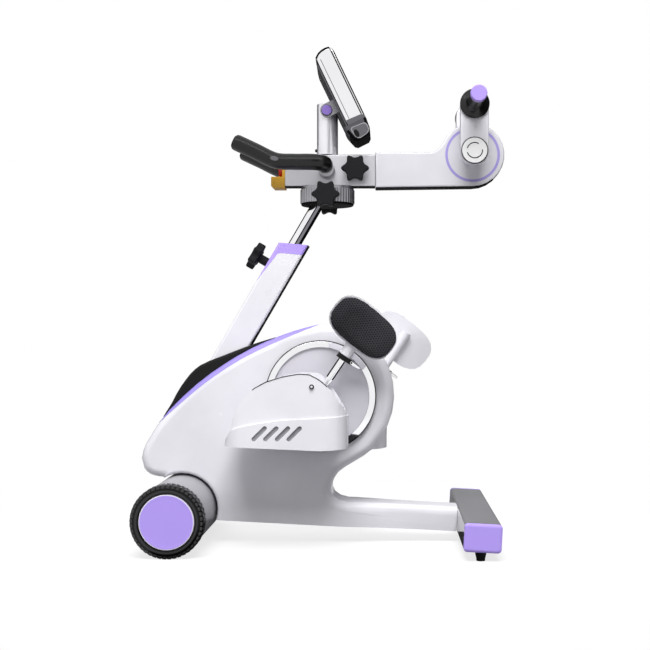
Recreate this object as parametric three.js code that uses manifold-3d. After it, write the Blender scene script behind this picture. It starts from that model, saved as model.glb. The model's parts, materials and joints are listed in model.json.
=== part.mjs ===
// Arm and leg pedal exerciser: a wheeled base with a motor-driven leg crank, and a
// height-adjustable mast that carries a swivelling head tube with handlebars, a console
// and a motor-driven arm crank.
// Millimetres. +Z is up, the user sits at +X and faces -X, so the user's left is -Y.
// The origin lies on the floor, under the middle of the machine.
import * as THREE from 'three';
import { mergeVertices } from 'three/addons/utils/BufferGeometryUtils.js';
import Module from 'manifold-3d';

const wasm = await Module();
wasm.setup();

// Fits and counts that the whole machine shares
const seatGap = 0.3; // between pieces that rest against each other
const runGap = 0.4; // round a shaft, pin or slide
const overrun = 6; // how far a cut runs past the face that it opens
const roundSides = 32; // sides of a large turned piece
const smallSides = 14; // sides of a pin, bore or rod

// Base line: the crossbar, the frame tube and the beam all lie on one slightly falling line
const baseSlope = 3.05; // degrees, down towards the crossbar
const crossbarX = 346.6;
const crossbarZ = 50;
const crossbarDepth = 80;
const crossbarHeight = 60;
const crossbarHalf = 267;
const crossbarCorner = 8;
const crossbarWall = 3;
const capThickness = 11;
const capPlug = 22;
const plugChamfer = 4;

// Inner frame: main tube, stub for the column, plates that hold the crank bearings
const mainTubeHeight = 40;
const mainTubeHalf = 28;
const mainTubeWall = 3;
const tubeWindowGap = 1;
const frameLap = 23; // main tube's run past the wheel axle, inside the drum
const frameStubEnter = 110;
const plateThickness = 6;
const crankPlateY = 30;
const crankPlateHalf = 16;

// Rubber feet under the crossbar
const footX = 343;
const footInset = 22; // crossbar's end to the foot's middle
const footTopRadius = 12;
const footBottomRadius = 9.5;

// Front wheels, their axle and the drum between them
const noseLead = 94.5; // wheel axle to the body's nose
const wheelRadius = 79;
const wheelInnerY = 200;
const tyreWidth = 42;
const tyreBore = 60;
const treadDepth = 2.6;
const treadGroove = 4.5;
const treadBlocks = 15;
const hubFaceInset = 2;
const hubWeb = 6;
const hubRim = 7;
const hubBossRadius = 19;
const axleRadius = 10;
const axleCover = 12; // hub left solid over the end of the axle
const drumRadius = 76;
const drumWall = 3;
const drumEndGap = 1.2; // drum to wheel

// Moulded body
const noseReach = 416.5;
const bodyHalf = 62;
const bodyEdge = 20;
const bodyWall = 3.5;
const bodyRound = 167;
const beamHeight = 55;
const beamHalf = 40;
const waistStart = 30;
const waistEnd = 190;
const archGap = 5.5;
const archFlare = 8;
const seamGap = 0.6;
const panelLength = 100; // longest edge left in a large moulded face

// Trim stripes let into the body's top edges
const stripeWidth = 11;
const stripeDepth = 1.5;
const stripeProud = 0.5;

// Spine cover
const spineEdge = 7;

// Leg drive
const crankX = -5;
const crankZ = 337;
const crankRadius = 45;
const crankAngle = 160.6; // degrees, left arm, up from +X
const shaftRadius = 10;
const bearingRadius = 24;
const bearingWidth = 14;
const pulleyRadius = 70;
const beltWidth = 12;
const beltThickness = 3;
const beltGap = 1;
const pulleyFlange = 2;
const pulleyY = 50;
const motorLead = 170; // motor's axis behind the wheel axle
const motorZ = 232;
const motorRadius = 38;
const motorLength = 62;
const motorShaftRadius = 6;
const motorPulleyRadius = 14;

// Side discs round the crank
const discRadius = 124.5;
const discRimWidth = 13.5;
const discThickness = 12;
const discRimProud = 2.5;
const discHole = 13;

// Leg cranks
const legArmThickness = 12;
const legArmGap = 2.2; // disc rim to crank arm
const legHubRadius = 20;
const legEyeRadius = 14;
const pedalPinRadius = 6;
const pedalGap = 2; // crank arm to foot shell

// Foot shells, drawn round the pedal pin
const footLength = 268;
const footHeight = 165;
const footWidth = 122;
const footToe = 160; // pin to toe
const footDrop = 125; // pin to sole
const footWall = 4;
const footSkirt = 3.5; // how far the skirt stands out
const footSole = 10;
const heelRadius = 50;
const toeRadius = 36;
const slotLength = 43;
const slotWidth = 9.5;
const slotPitch = 25;
const slotCount = 4;
const slotLean = 45; // degrees
const slotStart = -80.8;
const slotDrop = 87.7;
const pinBossRadius = 15;
const pinBossDepth = 6;

// Calf supports, drawn round the ankle pin with +Z along the rod
const ankleBack = 76.5; // ankle pin to the heel's end
const ankleZ = 13;
const anklePinRadius = 6;
const ankleEyeRadius = 27;
const ankleEyeThickness = 8;
const calfLean = 56; // degrees above the floor
const calfRodRadius = 7.5;
const calfRodOffset = 20;
const calfRodLength = 165;
const clampAt = 80.5;
const clampHeight = 11;
const clampRadius = 16.5;
const socketRadius = 14;
const socketTop = 190;
const padAt = 166.3;
const padHalfLength = 77.5;
const padHalfWidth = 48.8;
const padThickness = 11;
const padBend = 20;
const padCrown = 3;
const padGap = 0.9; // pad to its shell
const troughWall = 4.5;
const troughRim = 2;
const padTurn = 5.3; // degrees in the plane of the pad
const padSquareness = 2.9; // power of the superellipse outline
const leverLength = 21;
const leverThickness = 5;
const leverWidth = 13;
const leverLug = 6;
const leverKnuckle = 4;
const leverPinRadius = 2;

// Column, drawn down from the middle of its mouth with +Z along it
const columnTopX = -70;
const columnTopZ = 685;
const columnLean = 59.8; // degrees above the floor
const columnDepth = 62;
const columnWidth = 60;
const columnLength = 446;
const columnWall = 3;
const columnCorner = 6;
const mouthAngle = 25; // degrees that the mouth falls off square
const collarBand = 26;
const collarStrip = 103;
const collarPlug = 40;

// Mast
const postRadius = 14;
const postHidden = 205;
const seatRadius = 61;
const seatThickness = 4.5;
const spigotRadius = 20;
const knobSpindleRadius = 5;

// Swivelling head
const swivelX = 7;
const turntableZ = 780;
const turntableHeight = 38;
const turntableRadius = 63;
const fluteCount = 36;
const fluteDepth = 1.4;
const headTubeBack = 97; // swivel axis to the tube's far end
const headTubeFront = 111;
const headTubeHeight = 74;
const headTubeHalf = 22;
const headTubeWall = 3;
const headTubeCorner = 4;
const bossRadius = 19;
const bossReach = 46; // from the middle plane
const bossZ = 853.5;

// End cap and stop button
const endCapFlange = 6;
const endCapProud = 1.5;
const endCapDrop = 4;
const endCapBlock = 26;
const endCapBlockHeight = 26.5;
const endCapPlug = 18;
const stopRadius = 19;
const stopZ = 861;
const stopHead = 9.7;
const stopTravel = 3.5;
const stopRecess = 4;
const stopStemRadius = 7;

// Handlebars
const gripRadius = 18.5;
const handleY = 75;
const handleZ = 867;
const handleEndX = -202;
const handleEndZ = 914;
const handleBendX = -108;
const handleBendZ = 870;
const handleRootX = -3.5; // from the swivel axis
const handleRootZ = 864;

// Console and its post
const consolePostRadius = 24.5;
const hingeZ = 992.7;
const postTopRise = 18;
const hingePinRadius = 5;
const hingeEarRadius = 15.8;
const hingeEarThickness = 6;
const hingeEarReach = 25; // hinge axis to the ear's root
const hingeCapRadius = 11.5;
const hingeCapProud = 3;
const consoleTilt = 25.7; // degrees that the screen looks up
const tiltForward = 2;
const tiltBack = 34;
const consoleHeight = 224;
const consoleBelow = 98; // hinge to the console's lower end
const consoleBack = 17.5; // hinge to the console's back
const consoleDepth = 55.3;
const consoleHalf = 56;
const consoleChin = 41; // height of the block below the screen's frame
const consoleCoverHalf = 30.5;
const consoleShell = 8.8;
const consoleEdge = 7;
const consoleWall = 3;
const bezelWall = 9;
const screenRecess = 5;

// Arm unit, drawn round the arm crank's axis
const armX = 343;
const armZ = 891;
const armHeadRadius = 74;
const armHalf = 27;
const armEdge = 6;
const armWall = 3;
const armNeckHeight = 83.4;
const armNeckDrop = 35.3; // axis to the neck's middle height
const armNeckFillet = 34;
const armShaftRadius = 9;
const armMotorRadius = 55;
const armMotorHalf = 20;
const slideOut = 150; // slide bar inside the head tube
const slideIn = 42; // slide bar inside the arm unit
const slideWall = 3;
const armCrankRadius = 105;
const armCrankHalf = 32.2;
const armCrankThickness = 28;
const armCrankY = 60;
const armHubRadius = 24;
const armCapRadius = 29;
const armCapProud = 1.5;
const armGripRadius = 17;
const armGripEnd = 205;
const armGripFlare = 33.5;
const armGripFlareDepth = 16;
const armGripPinRadius = 6;
const armGripCover = 45; // grip left solid past the end of its pin

// Star knobs
const knobRadius = 32;
const knobWaist = 25.5;
const knobLobes = 6;
const knobThickness = 19;
const knobEdge = 4;
const knobHubRadius = 11;
const turntableKnobY = 76;
const turntableKnobRise = 13;
const tubeKnobX = 72.5;
const tubeKnobZ = 857;
const tubeKnobY = 36;
const columnKnobDown = 67.6;
const columnKnobOut = 55;

// Outline shares. Body: x runs from the crank axis (0) to the nose (1), z from the floor (0)
// to the top of the body (1).
const bodyTopShares = [
  [1, 0.383], [0.985, 0.433], [0.954, 0.479], [0.891, 0.558], [0.782, 0.653], [0.67, 0.734],
  [0.558, 0.8], [0.449, 0.855], [0.337, 0.901], [0.226, 0.939], [0.117, 0.969], [0.007, 0.991],
];
const bodyNoseShares = [[0.879, 0.298], [0.918, 0.302], [0.959, 0.314], [0.985, 0.338]];
// Spine cover, in the body's shares
const spineTopShares = [
  [0.884, 0.57], [0.862, 0.599], [0.832, 0.639], [0.806, 0.681], [0.777, 0.718], [0.748, 0.75],
  [0.721, 0.776], [0.692, 0.796], [0.655, 0.815], [0.578, 0.84], [0.493, 0.867], [0.41, 0.893],
  [0.352, 0.909], [0.296, 0.923], [0.26, 0.9315],
];
// Hollow between body and beam: x from the crank axis in body radii, z in crank heights
const filletShares = [
  [0.7, 0.635], [0.551, 0.579], [0.371, 0.528], [0.246, 0.484], [0.18, 0.439], [0.138, 0.38],
  [0.15, 0.332], [0.222, 0.294], [0.359, 0.274],
];
// Foot shell: x from the toe (0) to the heel (1), z from the sole (0) to the top (1)
const footDomeShares = [
  [0.064, 0.15], [0.065, 0.23], [0.08, 0.406], [0.136, 0.612], [0.239, 0.796], [0.383, 0.919],
  [0.582, 0.996], [0.71, 0.985], [0.813, 0.873], [0.877, 0.764], [0.94, 0.6], [1, 0.459],
];
const footSkirtShares = [
  [0, 0.057], [0.018, 0.15], [0.06, 0.262], [0.12, 0.305], [0.224, 0.342], [0.463, 0.4],
  [0.782, 0.424], [1, 0.446], [1, 0.015], [0.782, 0],
];
// Console: depth from its back (0) to its face (1), height from its lower end (0) to its top (1)
const consoleShares = [
  [0.063, 0.08], [0.136, 0.022], [0.244, 0], [0.769, 0.002], [0.895, 0.027], [0.958, 0.071],
  [1, 0.17], [1, 0.942], [0.949, 0.98], [0.841, 0.996], [0.693, 1], [0.515, 0.996],
  [0.347, 0.982], [0.19, 0.955], [0, 0.8125], [0, 0.134],
];
// Six-lobed knob: how sharply its lobes stand out
const lobeShare = 1.6;

// Sizes worked out from the ones above
const rad = Math.PI / 180;
const halfTurn = Math.PI;
const quarterTurn = Math.PI / 2;
const bodyTop = crankZ + bodyRound;
const archRadius = drumRadius + archGap;
const discFace = bodyHalf + seatGap + discThickness;
const legArmY = discFace + discRimProud + legArmGap;
const footY0 = legArmY + legArmThickness + pedalGap;
const ankleX = footLength - footToe - ankleBack; // from the pedal pin
const wheelX = noseLead - noseReach;
const frameReach = wheelX - frameLap;
const motorX = wheelX + motorLead;
const baseLine = (x) => crossbarZ + (crossbarX - x) * Math.tan(baseSlope * rad);
const headTubeZ = turntableZ + turntableHeight + seatGap;
const mouthFall = Math.tan(mouthAngle * rad);
const leverPinAt = clampRadius + leverKnuckle + 2 * runGap;
const padBase = socketRadius - troughWall / 2; // rod axis to the trough's back, at its middle
const hingeEarIn = consolePostRadius + runGap; // from the middle plane
const sides = [{ name: 'left', sign: -1 }, { name: 'right', sign: 1 }];

// Materials
function paint(color, roughness, metalness = 0) {
  return new THREE.MeshStandardMaterial({ color, roughness, metalness });
}
const whiteShell = paint(0xededf2, 0.35);
const glossWhite = paint(0xf6f5fb, 0.2);
const lavender = paint(0xbba3ff, 0.4);
const blackPlastic = paint(0x1e1e1e, 0.45);
const blackRubber = paint(0x232323, 0.8);
const greyPaint = paint(0x8a8a8c, 0.45);
const frameSteel = paint(0x6a6a70, 0.5, 0.6);
const chrome = paint(0xd9dadf, 0.12, 1);
const silver = paint(0xc8c7cc, 0.35, 0.6);
const discGrey = paint(0xbfbcc4, 0.4, 0.3);
const padFabric = paint(0x3a3a3c, 0.9);
const signalRed = paint(0xb0151f, 0.35);
const capYellow = paint(0xd0a035, 0.4);
const consoleGrey = paint(0x4a4a50, 0.4);

// Closed geometry to a solid that can be joined and cut
function solidOf(geometry) {
  const plain = new THREE.BufferGeometry();
  plain.setAttribute('position', geometry.getAttribute('position'));
  if (geometry.index) plain.setIndex(geometry.index);
  const merged = mergeVertices(plain);
  const at = merged.attributes.position.array;
  const from = merged.index.array;
  const faces = [];
  let volume = 0;
  const [a, b, c] = [new THREE.Vector3(), new THREE.Vector3(), new THREE.Vector3()];
  for (let i = 0; i < from.length; i += 3) {
    const [p, q, r] = [from[i], from[i + 1], from[i + 2]];
    if (p === q || q === r || r === p) continue;
    faces.push(p, q, r);
    a.fromArray(at, p * 3);
    b.fromArray(at, q * 3);
    c.fromArray(at, r * 3);
    volume += a.dot(b.cross(c));
  }
  if (volume < 0) faces.reverse();
  const triVerts = Uint32Array.from(faces);
  return new wasm.Manifold(new wasm.Mesh({ numProp: 3, vertProperties: at, triVerts }));
}

function geometryOf(solid) {
  const { vertProperties, triVerts } = solid.getMesh();
  const geometry = new THREE.BufferGeometry();
  geometry.setAttribute('position', new THREE.Float32BufferAttribute(vertProperties, 3));
  geometry.setIndex(new THREE.BufferAttribute(triVerts, 1));
  const flat = geometry.toNonIndexed();
  flat.computeVertexNormals();
  return flat;
}

function addPart(group, name, solid, material) {
  const mesh = new THREE.Mesh(geometryOf(solid), material);
  mesh.name = name;
  group.add(mesh);
  return mesh;
}

function placed(group, x, y, z, turn = 0) {
  const child = new THREE.Group();
  child.position.set(x, y, z);
  child.rotation.y = turn;
  group.add(child);
  return child;
}

function joined(pieces) {
  return pieces.reduce((all, piece) => all.add(piece));
}

const points = (pairs) => pairs.map(([x, y]) => new THREE.Vector2(x, y));

// Side-view outline (x, z) pushed across the machine from y0 to y1. edge rounds both rims,
// inset draws the outline in.
function sideSlab(outline, y0, y1, edge = 0, inset = 0, edgeSteps = 2) {
  const shape = outline instanceof THREE.Shape ? outline : new THREE.Shape(outline);
  const low = Math.min(y0, y1);
  const high = Math.max(y0, y1);
  const geometry = new THREE.ExtrudeGeometry(shape, {
    depth: high - low - 2 * edge,
    curveSegments: 4,
    bevelEnabled: edge > 0 || inset !== 0,
    bevelThickness: edge,
    bevelSize: edge,
    bevelOffset: -edge - inset,
    bevelSegments: edge > 0 ? edgeSteps : 0,
  });
  geometry.rotateX(quarterTurn);
  geometry.translate(0, high - edge, 0);
  return geometry;
}

// Plan-view outline (x, y) pushed up from z0 to z1
function plate(outline, z0, z1, edge = 0, edgeSteps = 2) {
  const shape = outline instanceof THREE.Shape ? outline : new THREE.Shape(outline);
  const geometry = new THREE.ExtrudeGeometry(shape, {
    depth: z1 - z0 - 2 * edge,
    curveSegments: 4,
    bevelEnabled: edge > 0,
    bevelThickness: edge,
    bevelSize: edge,
    bevelOffset: -edge,
    bevelSegments: edgeSteps,
  });
  geometry.translate(0, 0, z0 + edge);
  return geometry;
}

function block(x0, x1, y0, y1, z0, z1) {
  const geometry = new THREE.BoxGeometry(x1 - x0, y1 - y0, z1 - z0);
  geometry.translate((x0 + x1) / 2, (y0 + y1) / 2, (z0 + z1) / 2);
  return geometry;
}

// Block centred on the origin with its four long edges (along Y) chamfered
function roundedBlock(halfX, halfY, halfZ) {
  const cut = plugChamfer;
  return sideSlab(points([
    [halfX - cut, -halfZ], [halfX, cut - halfZ], [halfX, halfZ - cut], [halfX - cut, halfZ],
    [cut - halfX, halfZ], [-halfX, halfZ - cut], [-halfX, cut - halfZ], [cut - halfX, -halfZ],
  ]), -halfY, halfY);
}

// Profile of [radius, y] pairs turned about the Y axis; a profile off the axis closes on itself
function turned(profile, count = roundSides) {
  const outline = points(profile);
  if (profile[0][0] > 0) outline.push(outline[0].clone());
  return new THREE.LatheGeometry(outline, count);
}

const rod = (radius, y0, y1, count = smallSides) => turned(
  [[0, y0], [radius, y0], [radius, y1], [0, y1]], count);

const upright = (radius, z0, z1, count = smallSides) => rod(radius, z0, z1, count)
  .rotateX(quarterTurn);

const lengthwise = (radius, x0, x1, count = smallSides) => rod(-radius, x0, x1, count)
  .rotateZ(-quarterTurn);

function roundedRect(x0, x1, y0, y1, radius) {
  const shape = new THREE.Shape();
  shape.moveTo(x0 + radius, y0);
  shape.lineTo(x1 - radius, y0);
  shape.absarc(x1 - radius, y0 + radius, radius, -quarterTurn, 0);
  shape.lineTo(x1, y1 - radius);
  shape.absarc(x1 - radius, y1 - radius, radius, 0, quarterTurn);
  shape.lineTo(x0 + radius, y1);
  shape.absarc(x0 + radius, y1 - radius, radius, quarterTurn, halfTurn);
  shape.lineTo(x0, y0 + radius);
  shape.absarc(x0 + radius, y0 + radius, radius, halfTurn, halfTurn + quarterTurn);
  return shape;
}

// Bar with two round ends, from (0, 0) to (length, 0)
function linkOutline(length, startRadius, endRadius, count = 10) {
  const lean = Math.asin((startRadius - endRadius) / length);
  const from = quarterTurn - lean;
  const start = new THREE.EllipseCurve(0, 0, startRadius, startRadius, from, -from);
  const end = new THREE.EllipseCurve(length, 0, endRadius, endRadius, -from, from);
  return [...start.getPoints(count), ...end.getPoints(count)];
}

// Superellipse rings pushed along Y: each layer is [size share, y] and bend bows the ends out
function bowedShell(halfX, halfZ, layers, bend, count = 24) {
  const positions = [];
  const ringOf = ([share, y], side) => {
    const angle = (side / count) * 2 * halfTurn;
    const cos = Math.cos(angle);
    const sin = Math.sin(angle);
    const x = halfX * share * Math.sign(cos) * Math.abs(cos) ** (2 / padSquareness);
    const z = halfZ * share * Math.sign(sin) * Math.abs(sin) ** (2 / padSquareness);
    return [x, y + bend * (x / halfX) ** 2, z];
  };
  for (let layer = 0; layer < layers.length - 1; layer += 1) {
    for (let side = 0; side < count; side += 1) {
      const low = ringOf(layers[layer], side);
      const lowNext = ringOf(layers[layer], side + 1);
      const high = ringOf(layers[layer + 1], side);
      const highNext = ringOf(layers[layer + 1], side + 1);
      if (layers[layer][0] > 0) positions.push(...low, ...lowNext, ...high);
      if (layers[layer + 1][0] > 0) positions.push(...lowNext, ...highNext, ...high);
    }
  }
  const geometry = new THREE.BufferGeometry();
  geometry.setAttribute('position', new THREE.Float32BufferAttribute(positions, 3));
  return geometry;
}

// Round bar along a curve, with a radius for each of its rings; it ends in flat caps
function sweptBar(curve, radii, count = 12) {
  const rings = radii.length;
  const frames = curve.computeFrenetFrames(rings - 1, false);
  const positions = [];
  const at = (ring, side) => {
    const angle = (side / count) * 2 * halfTurn;
    return curve.getPointAt(ring / (rings - 1))
      .addScaledVector(frames.normals[ring], radii[ring] * Math.cos(angle))
      .addScaledVector(frames.binormals[ring], radii[ring] * Math.sin(angle))
      .toArray();
  };
  for (let side = 0; side < count; side += 1) {
    for (let ring = 0; ring < rings - 1; ring += 1) {
      positions.push(...at(ring, side), ...at(ring, side + 1), ...at(ring + 1, side));
      positions.push(...at(ring, side + 1), ...at(ring + 1, side + 1), ...at(ring + 1, side));
    }
    positions.push(...curve.getPointAt(0).toArray(), ...at(0, side + 1), ...at(0, side));
    positions.push(...curve.getPointAt(1).toArray(), ...at(rings - 1, side));
    positions.push(...at(rings - 1, side + 1));
  }
  const geometry = new THREE.BufferGeometry();
  geometry.setAttribute('position', new THREE.Float32BufferAttribute(positions, 3));
  return geometry;
}

// A piece drawn in the column's own frame, set into the machine's frame
const columnTurn = quarterTurn - columnLean * rad;
const inColumn = (geometry) => geometry.rotateY(columnTurn).translate(columnTopX, 0, columnTopZ);

// The moulded body's side view
const bodyPoint = ([x, z]) => new THREE.Vector2(crankX - x * (crankX + noseReach), z * bodyTop);

function bodyTopCurve() {
  return new THREE.SplineCurve(bodyTopShares.map(bodyPoint));
}

function bodyOutline() {
  const below = bodyEdge + overrun;
  const farEnd = crossbarX + crossbarDepth;
  const top = bodyTopCurve().getPoints(16);
  const round = new THREE.EllipseCurve(
    crankX, crankZ, bodyRound, bodyRound, 78 * rad, -36 * rad, true).getPoints(10);
  const fillet = new THREE.SplineCurve(filletShares.map(([x, z]) => new THREE.Vector2(
    crankX + x * bodyRound, z * crankZ))).getPoints(10);
  const beamStart = fillet[fillet.length - 1].x + beamHeight / 3;
  const corners = points([
    [beamStart, baseLine(beamStart) + beamHeight / 2],
    [farEnd, baseLine(farEnd) + beamHeight / 2],
    [farEnd, baseLine(farEnd) - beamHeight / 2 - below],
    [wheelX - archRadius / 5, baseLine(wheelX) - beamHeight / 2 - below],
    [wheelX - archRadius / 5, wheelRadius + archRadius / 4],
  ]);
  const nose = new THREE.SplineCurve(bodyNoseShares.map(bodyPoint)).getPoints(5);
  return [...top, ...round, ...fillet, ...corners, ...nose];
}

// The beam is narrower than the body: its width draws in along the waist
function drawInWaist(geometry, half, endHalf) {
  const at = geometry.attributes.position;
  const filletTop = filletShares[4][1] * crankZ;
  for (let i = 0; i < at.count; i += 1) {
    if (at.getZ(i) > filletTop) continue;
    const along = THREE.MathUtils.smoothstep(at.getX(i), waistStart, waistEnd);
    at.setY(i, at.getY(i) * (1 + (endHalf / half - 1) * along));
  }
  return geometry;
}

// Halves every edge longer than longest that reaches into the waist, the same way in both
// faces that share it
function refined(geometry, longest) {
  let faces = [...geometry.attributes.position.array];
  let count = 0;
  while (faces.length > count) {
    count = faces.length;
    const next = [];
    for (let i = 0; i < count; i += 9) {
      const corners = [0, 3, 6].map((k) => new THREE.Vector3().fromArray(faces, i + k));
      const loop = [];
      let start = 0;
      corners.forEach((corner, k) => {
        const other = corners[(k + 1) % 3];
        loop.push(corner);
        const clear = Math.min(corner.x, other.x) > waistEnd || Math.max(corner.x, other.x) < waistStart;
        if (clear || corner.distanceTo(other) <= longest) return;
        if (start === 0) start = loop.length;
        loop.push(corner.clone().add(other).divideScalar(2));
      });
      for (let k = 1; k < loop.length - 1; k += 1) {
        for (const step of [0, k, k + 1]) next.push(...loop[(start + step) % loop.length].toArray());
      }
    }
    faces = next;
  }
  const fine = new THREE.BufferGeometry();
  fine.setAttribute('position', new THREE.Float32BufferAttribute(faces, 3));
  return fine;
}

// The body as one closed form, drawn in all over by inset
function bodyForm(inset, edgeSteps) {
  const half = bodyHalf - inset;
  const slab = sideSlab(bodyOutline(), -half, half, bodyEdge - inset, inset, edgeSteps);
  return solidOf(drawInWaist(refined(slab, panelLength), half, beamHalf - inset));
}

function archCut(radius, flare) {
  const far = bodyHalf + overrun;
  const start = bodyHalf - flare;
  const profile = [[0, -far], [radius + flare, -far]];
  const steps = 4;
  for (let i = 0; flare > 0 && i <= steps; i += 1) {
    const angle = (i / steps) * quarterTurn;
    profile.push([radius + flare * (1 - Math.sin(angle)), -bodyHalf + flare * (1 - Math.cos(angle))]);
  }
  for (let i = steps; flare > 0 && i >= 0; i -= 1) {
    const angle = (i / steps) * quarterTurn;
    profile.push([radius + flare * (1 - Math.sin(angle)), bodyHalf - flare * (1 - Math.cos(angle))]);
  }
  profile.push([radius + flare, far], [0, far]);
  if (start <= 0) throw new Error('the arch flare is wider than the body');
  return solidOf(turned(profile, roundSides).translate(wheelX, 0, wheelRadius));
}

// Everything below the body's flat underside, lifted by rise
function underside(rise) {
  const x0 = -noseReach - bodyEdge;
  const x1 = crossbarX + crossbarDepth + bodyEdge;
  const low = -bodyRound;
  const drop = beamHeight / 2 - rise;
  return solidOf(sideSlab(points([
    [x0, low], [x1, low], [x1, baseLine(x1) - drop], [x0, baseLine(x0) - drop],
  ]), -bodyHalf - overrun, bodyHalf + overrun));
}

// Everything from the crossbar's near face on
function beamEnd() {
  const reach = 2 * crossbarDepth;
  const turn = baseSlope * rad;
  const geometry = block(-crossbarDepth / 2 - seatGap, reach, -bodyHalf - overrun,
    bodyHalf + overrun, -reach, reach);
  return solidOf(geometry.rotateY(turn).translate(crossbarX, 0, crossbarZ));
}

// Rectangular tube space along the frame line, grown by grow
function frameTubeSpace(x0, x1, grow) {
  const up = mainTubeHeight / 2 + grow;
  return sideSlab(points([
    [x0, baseLine(x0) - up], [x1, baseLine(x1) - up], [x1, baseLine(x1) + up], [x0, baseLine(x0) + up],
  ]), -mainTubeHalf - grow, mainTubeHalf + grow);
}


function columnSpace(grow, down) {
  const half = columnDepth / 2 + grow;
  const wide = columnWidth / 2 + grow;
  return inColumn(block(-half, half, -wide, wide, -down, overrun));
}

// Band along the body's top edge that the trim stripe fills
function stripeBand(sign, shrink) {
  const curve = bodyTopCurve();
  const steps = 18;
  const outer = [];
  const inner = [];
  for (let i = 0; i <= steps; i += 1) {
    const share = THREE.MathUtils.lerp(0.17, 0.995, i / steps);
    const at = curve.getPointAt(share);
    const along = curve.getTangentAt(share);
    const inward = new THREE.Vector2(along.y, -along.x);
    const taper = 1 - Math.abs(2 * (i / steps) - 1) ** 4;
    outer.push(at.clone().addScaledVector(inward, -overrun));
    inner.push(at.clone().addScaledVector(inward, stripeWidth * taper - shrink));
  }
  const near = bodyHalf - bodyEdge + shrink;
  return solidOf(sideSlab([...outer, ...inner.reverse()], sign * near, sign * (bodyHalf + overrun)));
}

function addHousing(group) {
  const bar = [-bodyHalf - overrun, bodyHalf + overrun];
  const outer = bodyForm(0, 3);
  const hollow = bodyForm(bodyWall, 1)
    .subtract(archCut(archRadius + archFlare + bodyWall, 0))
    .subtract(underside(bodyWall));
  let body = outer.subtract(archCut(archRadius, archFlare)).subtract(underside(0));
  body = body.subtract(hollow).subtract(beamEnd());
  body = body.subtract(solidOf(columnSpace(runGap, columnLength + columnDepth / 2)));
  body = body.subtract(solidOf(frameTubeSpace(wheelX, wheelX + 2 * archRadius, tubeWindowGap)));
  body = body.subtract(solidOf(rod(discHole + overrun, ...bar, roundSides / 2)
    .translate(crankX, 0, crankZ)));
  const grooveFloor = bodyForm(stripeDepth, 3);
  for (const { sign } of sides) body = body.subtract(stripeBand(sign, 0).subtract(grooveFloor));
  const far = 2 * noseReach;
  for (const { name, sign } of sides) {
    const y0 = Math.min(sign * seamGap / 2, sign * far);
    const y1 = Math.max(sign * seamGap / 2, sign * far);
    const half = body.intersect(solidOf(block(-far, far, y0, y1, -far, far)));
    addPart(group, `housing_${name}`, half, whiteShell);
  }
  const skin = bodyForm(-stripeProud, 3).subtract(bodyForm(stripeDepth - seatGap, 3));
  for (const { name, sign } of sides) {
    addPart(group, `trim_stripe_${name}`, skin.intersect(stripeBand(sign, seatGap)), lavender);
  }
}

function addSpineCover(group) {
  const half = bodyHalf - bodyEdge - seatGap;
  const top = new THREE.SplineCurve(spineTopShares.map(bodyPoint)).getPoints(15);
  const under = points([[crankX - bodyRound / 2, crankZ], [wheelX, crankZ - bodyRound / 3]]);
  const hump = solidOf(sideSlab([...top, ...under], -half, half, spineEdge, 0, 2));
  const cover = hump.subtract(bodyForm(-seatGap, 3))
    .subtract(solidOf(columnSpace(runGap, columnLength + columnDepth / 2)));
  addPart(group, 'spine_cover', cover, blackPlastic);
}

// Welded inner frame: main tube, leaning stub for the column, strut and crank bearing plates

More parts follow.
